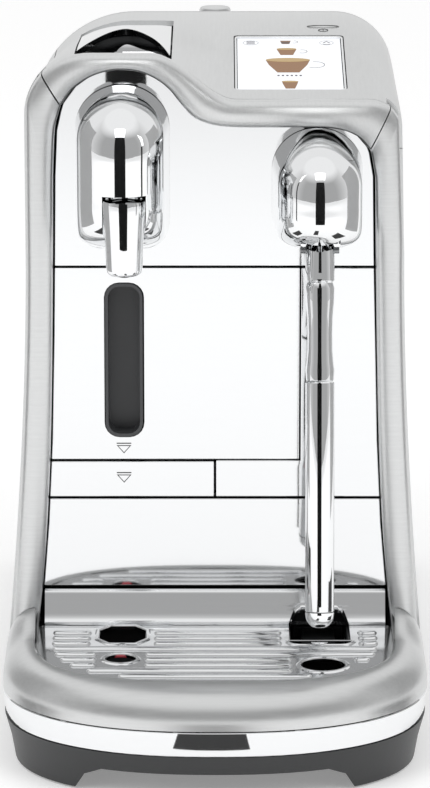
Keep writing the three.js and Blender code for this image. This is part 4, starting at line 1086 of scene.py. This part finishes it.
def tray_reach(y):
    """Half width of the grid at depth y."""
    u = max(0.0, (-124 - y) / 63.6)
    return GRID_HALF * max(0.0, 1 - u ** GRID_POWER) ** (1 / GRID_POWER)


def without(spans, x0, x1):
    """The spans with the stretch from x0 to x1 taken out."""
    out = []
    for a, b in spans:
        if a < x0:
            out.append((a, min(b, x0)))
        if b > x1:
            out.append((max(a, x1), b))
    return out


def grid_ridge():
    """The pressed ridge at the back of the grid, which rises against the lower panel."""
    side = catmull([
        (-107, GRID_TOP), (-101, GRID_TOP + 0.1), (-97.4, 53.2), (-94.9, 57.5), (-93.2, 62.5), (-91.6, 66.4),
        (-90.0, 67.4)], 5)
    side += [(-89.1, 67.3), (-89.1, 66.2)]
    side += catmull([
        (-90.6, 65), (-92.2, 61), (-94.2, 55.5), (-96.6, 51.6), (-101, GRID_LOW), (-107, GRID_LOW)], 5)
    ridge = prism("ridge", side, -RIDGE_HALF, RIDGE_HALF, MATS["tray"])
    ridge.data.transform(ACROSS)
    outward(ridge)
    return ridge


def eight_sided():
    """The cup rest's opening: a rectangle with its corners cut off."""
    corner, half_x, half_y = 5.2, 11, 14.2
    long_y = half_y - corner * 1.4
    outline = [(-half_x, -long_y), (-half_x + corner, -half_y), (half_x - corner, -half_y), (half_x, -long_y),
               (half_x, long_y), (half_x - corner, half_y), (-half_x + corner, half_y), (-half_x, long_y)]
    return [(x + CUP_REST[0], y + CUP_REST[1]) for x, y in outline]


def rib_spans(y):
    """The stretches along X at depth y that have room for a rib between the openings."""
    reach = tray_reach(y) - 7
    spans = [(-reach, reach)]
    if abs(y - CUP_REST[1]) < 17:
        spans = without(spans, -58.5, -29)
    if abs(y - FLOAT_AT[1]) < 10:
        spans = without(spans, -55, -33)
    if y > -137:
        spans = without(spans, 31.6, 67.6)
    if abs(y - DRAIN_AT[1]) < 13:
        spans = without(spans, 36, 64)
    return [span for span in spans if span[1] - span[0] > 8]


def grid_ribs(sizes):
    """Rows of raised ribs, each as long as the openings leave room for."""
    places = []
    y = -112.6
    for _ in range(9):
        places += [(a, b, y) for a, b in rib_spans(y)]
        y -= sizes.rib_pitch / MM
    mesh = bpy.data.meshes.new("rib_places")
    mesh.from_pydata([((a + b) / 2 * MM, y * MM, (GRID_TOP - 0.1) * MM) for a, b, y in places], [], [])
    for name, values in (("rib_length", [((b - a) / 2 - 2.6) * MM for a, b, _ in places]),
                         ("rib_middle", [(a + b) / 2 * MM for a, b, _ in places])):
        mesh.attributes.new(name, "FLOAT", "POINT").data.foreach_set("value", values)
    ribs = from_tree("grid_ribs", rib_tree(), mesh, Width=sizes.rib_width,
                     Height=sizes.rib_height * 2, Material=MATS["tray"])
    shade(ribs, 60)
    with_body(ribs, "grid")


def build_tray():
    tray = MATS["tray"]
    plate = prism("grid_plate", tray_outline(), GRID_LOW, GRID_TOP, tray)
    fused(plate, grid_ridge())
    pocket = rounded(35.2, 64.2, -132.6, -93.6, 6)
    holes = {"rim_eight": eight_sided(), "rim_float": circle(*FLOAT_AT, 7.1, 56),
             "rim_drain": circle(*DRAIN_AT, 10.2, 56), "rim_sensor": pocket}
    cut(plate, *[prism("cut_" + name, line, 30, 80, None) for name, line in holes.items()])
    soften(plate, 0.0005, 40)
    stands_for(plate, "drip_grid")
    holes["rim_sensor"] = [(x, y) for x, y in pocket if y < -101]
    for name, line in holes.items():
        with_body(raised_rim(name, line, tray), "grid")
    grid_ribs(bpy.context.scene.coffee_sizes)
    dressed("tray_tub", "drip_tray", MATS["black"])
    dressed("float", "drip_float", MATS["red"], 0.0004, 50)
    dressed("sensor_liner", "sensor_pocket", MATS["black"])
    dressed("sensor_bar", "sensor_arm", MATS["black"])
    dressed("sensor_key", "sensor_button", MATS["chrome"], 0.0003, 50)


def raised_rim(name, line, material):
    """A rounded bead pressed up around a hole."""
    n = len(line)
    cx, cy = sum(p[0] for p in line) / n, sum(p[1] for p in line) / n
    section = [(0.1, 0), (0.2, 0.5), (0.7, 0.85), (1.4, 0.75), (2.0, 0.35), (2.5, 0), (1.3, -0.2)]
    verts, faces = [], []
    for x, y in line:
        d = math.hypot(x - cx, y - cy)
        for out, up in section:
            k = (d + out) / d
            verts.append((cx + (x - cx) * k, cy + (y - cy) * k, GRID_TOP + up))
    m = len(section)
    for i in range(n):
        after = (i + 1) % n
        for j in range(m):
            faces.append((i * m + j, i * m + (j + 1) % m, after * m + (j + 1) % m, after * m + j))
    return mesh_from(name, verts, faces, material, 60)


def build_tank():
    dressed("tank", "water_tank", MATS["tank"], 0.0006, 40)
    dressed("tank_cover", "tank_lid", MATS["plastic"], 0.0006, 40)
    dressed("tank_pull", "tank_knob", MATS["brushed_x"], 0.0004, 40)
    dressed("tank_poppet", "tank_valve", MATS["black"], 0.0003)
    dressed("tank_socket", "tank_seat", MATS["black"], 0.0003)


def build_works():
    for name, node, mat in (("pump", "water_pump", "satin"), ("heater_brew", "brew_heater", "satin"),
                            ("heater_steam", "steam_heater", "satin"), ("piston", "brew_piston", "satin"),
                            ("board_main", "main_board", "board"), ("cage", "brew_cage", "plastic"),
                            ("chute", "capsule_chute", "black")):
        dressed(name, node, MATS[mat], 0.0004)


# ---------- stage ----------

def card(name, corners, tone, glow=0.0):
    """A studio card that only reflections see."""
    mesh = bpy.data.meshes.new(name)
    mesh.from_pydata(corners, [], [(0, 1, 2, 3)])
    mat, _, bsdf = new_material(name)
    bsdf.inputs["Base Color"].default_value = (tone, tone, tone, 1)
    bsdf.inputs["Roughness"].default_value = 1.0
    bsdf.inputs["Emission Color"].default_value = (1, 1, 1, 1)
    bsdf.inputs["Emission Strength"].default_value = glow
    obj = link(name, mesh, mat)
    obj.visible_camera = obj.visible_diffuse = obj.visible_shadow = obj.visible_transmission = False
    return obj


def area(name, place, target, size, power):
    light = bpy.data.lights.new(name, "AREA")
    light.shape = "RECTANGLE"
    light.size, light.size_y = size
    light.energy = power
    obj = bpy.data.objects.new(name, light)
    bpy.context.scene.collection.objects.link(obj)
    obj.location = place
    obj.rotation_mode = "QUATERNION"
    obj.rotation_quaternion = (Vector(target) - Vector(place)).to_track_quat("-Z", "Y")
    obj.visible_camera = obj.visible_glossy = False
    return obj


def studio_world(world):
    """White light from all round, brightest overhead and on the object's back."""
    world.use_nodes = True
    tree = world.node_tree
    view = add_node(tree, "ShaderNodeTexCoord")
    parts = add_node(tree, "ShaderNodeSeparateXYZ", {"Vector": view.outputs["Generated"]})
    rear = add_node(tree, "ShaderNodeMapRange", {"Value": parts.outputs["Y"]},
                    From_Min=-0.6, From_Max=0.25, To_Min=0.42, To_Max=0.88)
    roof = add_node(tree, "ShaderNodeMapRange", {"Value": parts.outputs["Z"]},
                    From_Min=0.3, From_Max=0.85, To_Min=0.0, To_Max=0.95)
    wide = add_node(tree, "ShaderNodeMath", {0: rear.outputs[0], 1: roof.outputs[0]}, operation="MAXIMUM")
    tree.links.new(wide.outputs[0], tree.nodes["Background"].inputs["Strength"])
    tree.nodes["Background"].inputs["Color"].default_value = (1, 1, 1, 1)


def studio_floor():
    floor = bpy.data.meshes.new("floor")
    floor.from_pydata([(-6, -6, 0), (6, -6, 0), (6, 6, 0), (-6, 6, 0)], [], [(0, 1, 2, 3)])
    mat, _, bsdf = new_material("floor_white")
    bsdf.inputs["Base Color"].default_value = (0.85, 0.85, 0.85, 1)
    bsdf.inputs["Roughness"].default_value = 0.7
    bsdf.inputs["Emission Color"].default_value = (1, 1, 1, 1)
    bsdf.inputs["Emission Strength"].default_value = 0.25
    link("floor", floor, mat)


def studio_cards():
    """Dark cards close to the chrome give it its dark strips, and pale ones its bright crowns."""
    floor_gap = 0.0006
    for name, x, half, y, low, high in (("card_coffee", -0.0435, 0.010, -0.166, 0.238, 0.318),
                                        ("card_steam", 0.0481, 0.0095, -0.176, 0.244, 0.300)):
        card(name, [(x - half, y, low), (x + half, y, low), (x + half, y, high), (x - half, y, high)], 0.01)
    wand = ((0.0415, -0.184, 0.075), (0.0525, -0.184, 0.075), (0.0525, -0.150, 0.232), (0.0415, -0.150, 0.232))
    card("card_wand", wand, 0.01)
    band = ((-0.032, -0.27), (0.026, -0.27), (0.03, -0.40), (-0.036, -0.40))
    card("card_band", [(x, y, floor_gap) for x, y in band], 0.04)
    for x, low in ((COFFEE_X, 0.32), (STEAM_X, 0.302)):
        mid, high = x * MM, low + 0.05
        card("card_glow", [(mid - 0.011, -0.17, low), (mid + 0.011, -0.17, low), (mid + 0.022, -0.17, high),
                           (mid - 0.022, -0.17, high)], 0.9, 1.3)
    for side in (-1, 1):
        end = ((0.17, -0.22), (0.30, -0.24), (0.30, -0.06), (0.17, -0.12))
        card("card_end", [(side * x, y, floor_gap) for x, y in end], 0.05)
    for side in (-1, 1):
        wing = ((-0.16, 0.001), (0.35, 0.001), (0.35, 0.6), (-0.16, 0.6))
        card("card_side", [(side * 0.5, y, z) for y, z in wing], 0.45)


def studio_camera(scene):
    camera = bpy.data.cameras.new("camera")
    camera.lens = 183.85
    obj = bpy.data.objects.new("camera", camera)
    scene.collection.objects.link(obj)
    obj.location = (0, -1.94673, 0.61277)
    obj.rotation_euler = (math.radians(90 - 13.6), 0, 0)
    scene.camera = obj


def build_stage():
    scene = bpy.context.scene
    scene.world = bpy.data.worlds.new("studio")
    studio_world(scene.world)
    studio_floor()
    studio_cards()
    for name, x, power in (("key_left", -1.3, 14), ("key_right", 1.3, 12)):
        area(name, (x, -1.5, 1.5), (0, -0.1, 0.15), (1.0, 1.4), power)
    studio_camera(scene)
    scene.view_settings.view_transform = "Standard"


# ---------- add-on ----------

STEPS = [
    ("materials", "Materials", "Makes every finish", build_materials),
    ("stage", "Stage", "Sets the floor, the cards, the lights and the camera", build_stage),
    ("frame", "Frame posts", "Makes the two brushed posts", build_frame),
    ("head", "Head", "Makes the S-shaped head with its openings", build_head),
    ("shell", "Body shell", "Makes the wrap around the body", build_shell),
    ("ring", "Front ring", "Makes the brushed ring around the tray", build_ring),
    ("base", "Base", "Makes the base, its band, feet and louvres", build_base),
    ("panels", "Panels", "Makes the mirror panels, bin and shelf", build_panels),
    ("heads", "Coffee and steam heads", "Makes both domes and the spout", build_heads),
    ("wand", "Steam wand", "Makes the jointed steam wand", build_wand),
    ("lever", "Lever", "Makes the pod lever and its recess", build_lever),
    ("screen", "Screen", "Makes the display, its drawings and the power key", build_screen),
    ("tray", "Drip tray", "Makes the grid, ribs, float and sensor", build_tray),
    ("tank", "Tank", "Makes the water tank, lid and valve", build_tank),
    ("works", "Works", "Finishes the pieces inside the body", build_works),
]


def operator_for(key, label, text, make):
    """The operator class of one step."""
    def execute(self, context):
        make()
        return {"FINISHED"}
    return type("COFFEE_OT_" + key, (bpy.types.Operator,), {
        "__doc__": text, "bl_idname": "coffee." + key, "bl_label": label,
        "bl_options": {"REGISTER", "UNDO"}, "execute": execute})


OPERATORS = [operator_for(*step) for step in STEPS]


class COFFEE_PT_panel(bpy.types.Panel):
    """Lists the sizes, the colours and the steps."""

    bl_label = "Coffee machine"
    bl_idname = "COFFEE_PT_panel"
    bl_space_type = "VIEW_3D"
    bl_region_type = "UI"
    bl_category = "Coffee"

    def draw(self, context):
        for group in (context.scene.coffee_sizes, context.scene.coffee_colours):
            for name in group.__annotations__:
                self.layout.prop(group, name)
        for key, label, _, _ in STEPS:
            self.layout.operator("coffee." + key, text=label)


CLASSES = [CoffeeSizes, CoffeeColours, *OPERATORS, COFFEE_PT_panel]


def register():
    for cls in CLASSES:
        bpy.utils.register_class(cls)
    bpy.types.Scene.coffee_sizes = bpy.props.PointerProperty(type=CoffeeSizes)
    bpy.types.Scene.coffee_colours = bpy.props.PointerProperty(type=CoffeeColours)


def unregister():
    del bpy.types.Scene.coffee_colours
    del bpy.types.Scene.coffee_sizes
    for cls in reversed(CLASSES):
        bpy.utils.unregister_class(cls)


def main():
    register()
    for key, _, _, _ in STEPS:
        getattr(bpy.ops.coffee, key)()


if __name__ == "__main__":
    main()
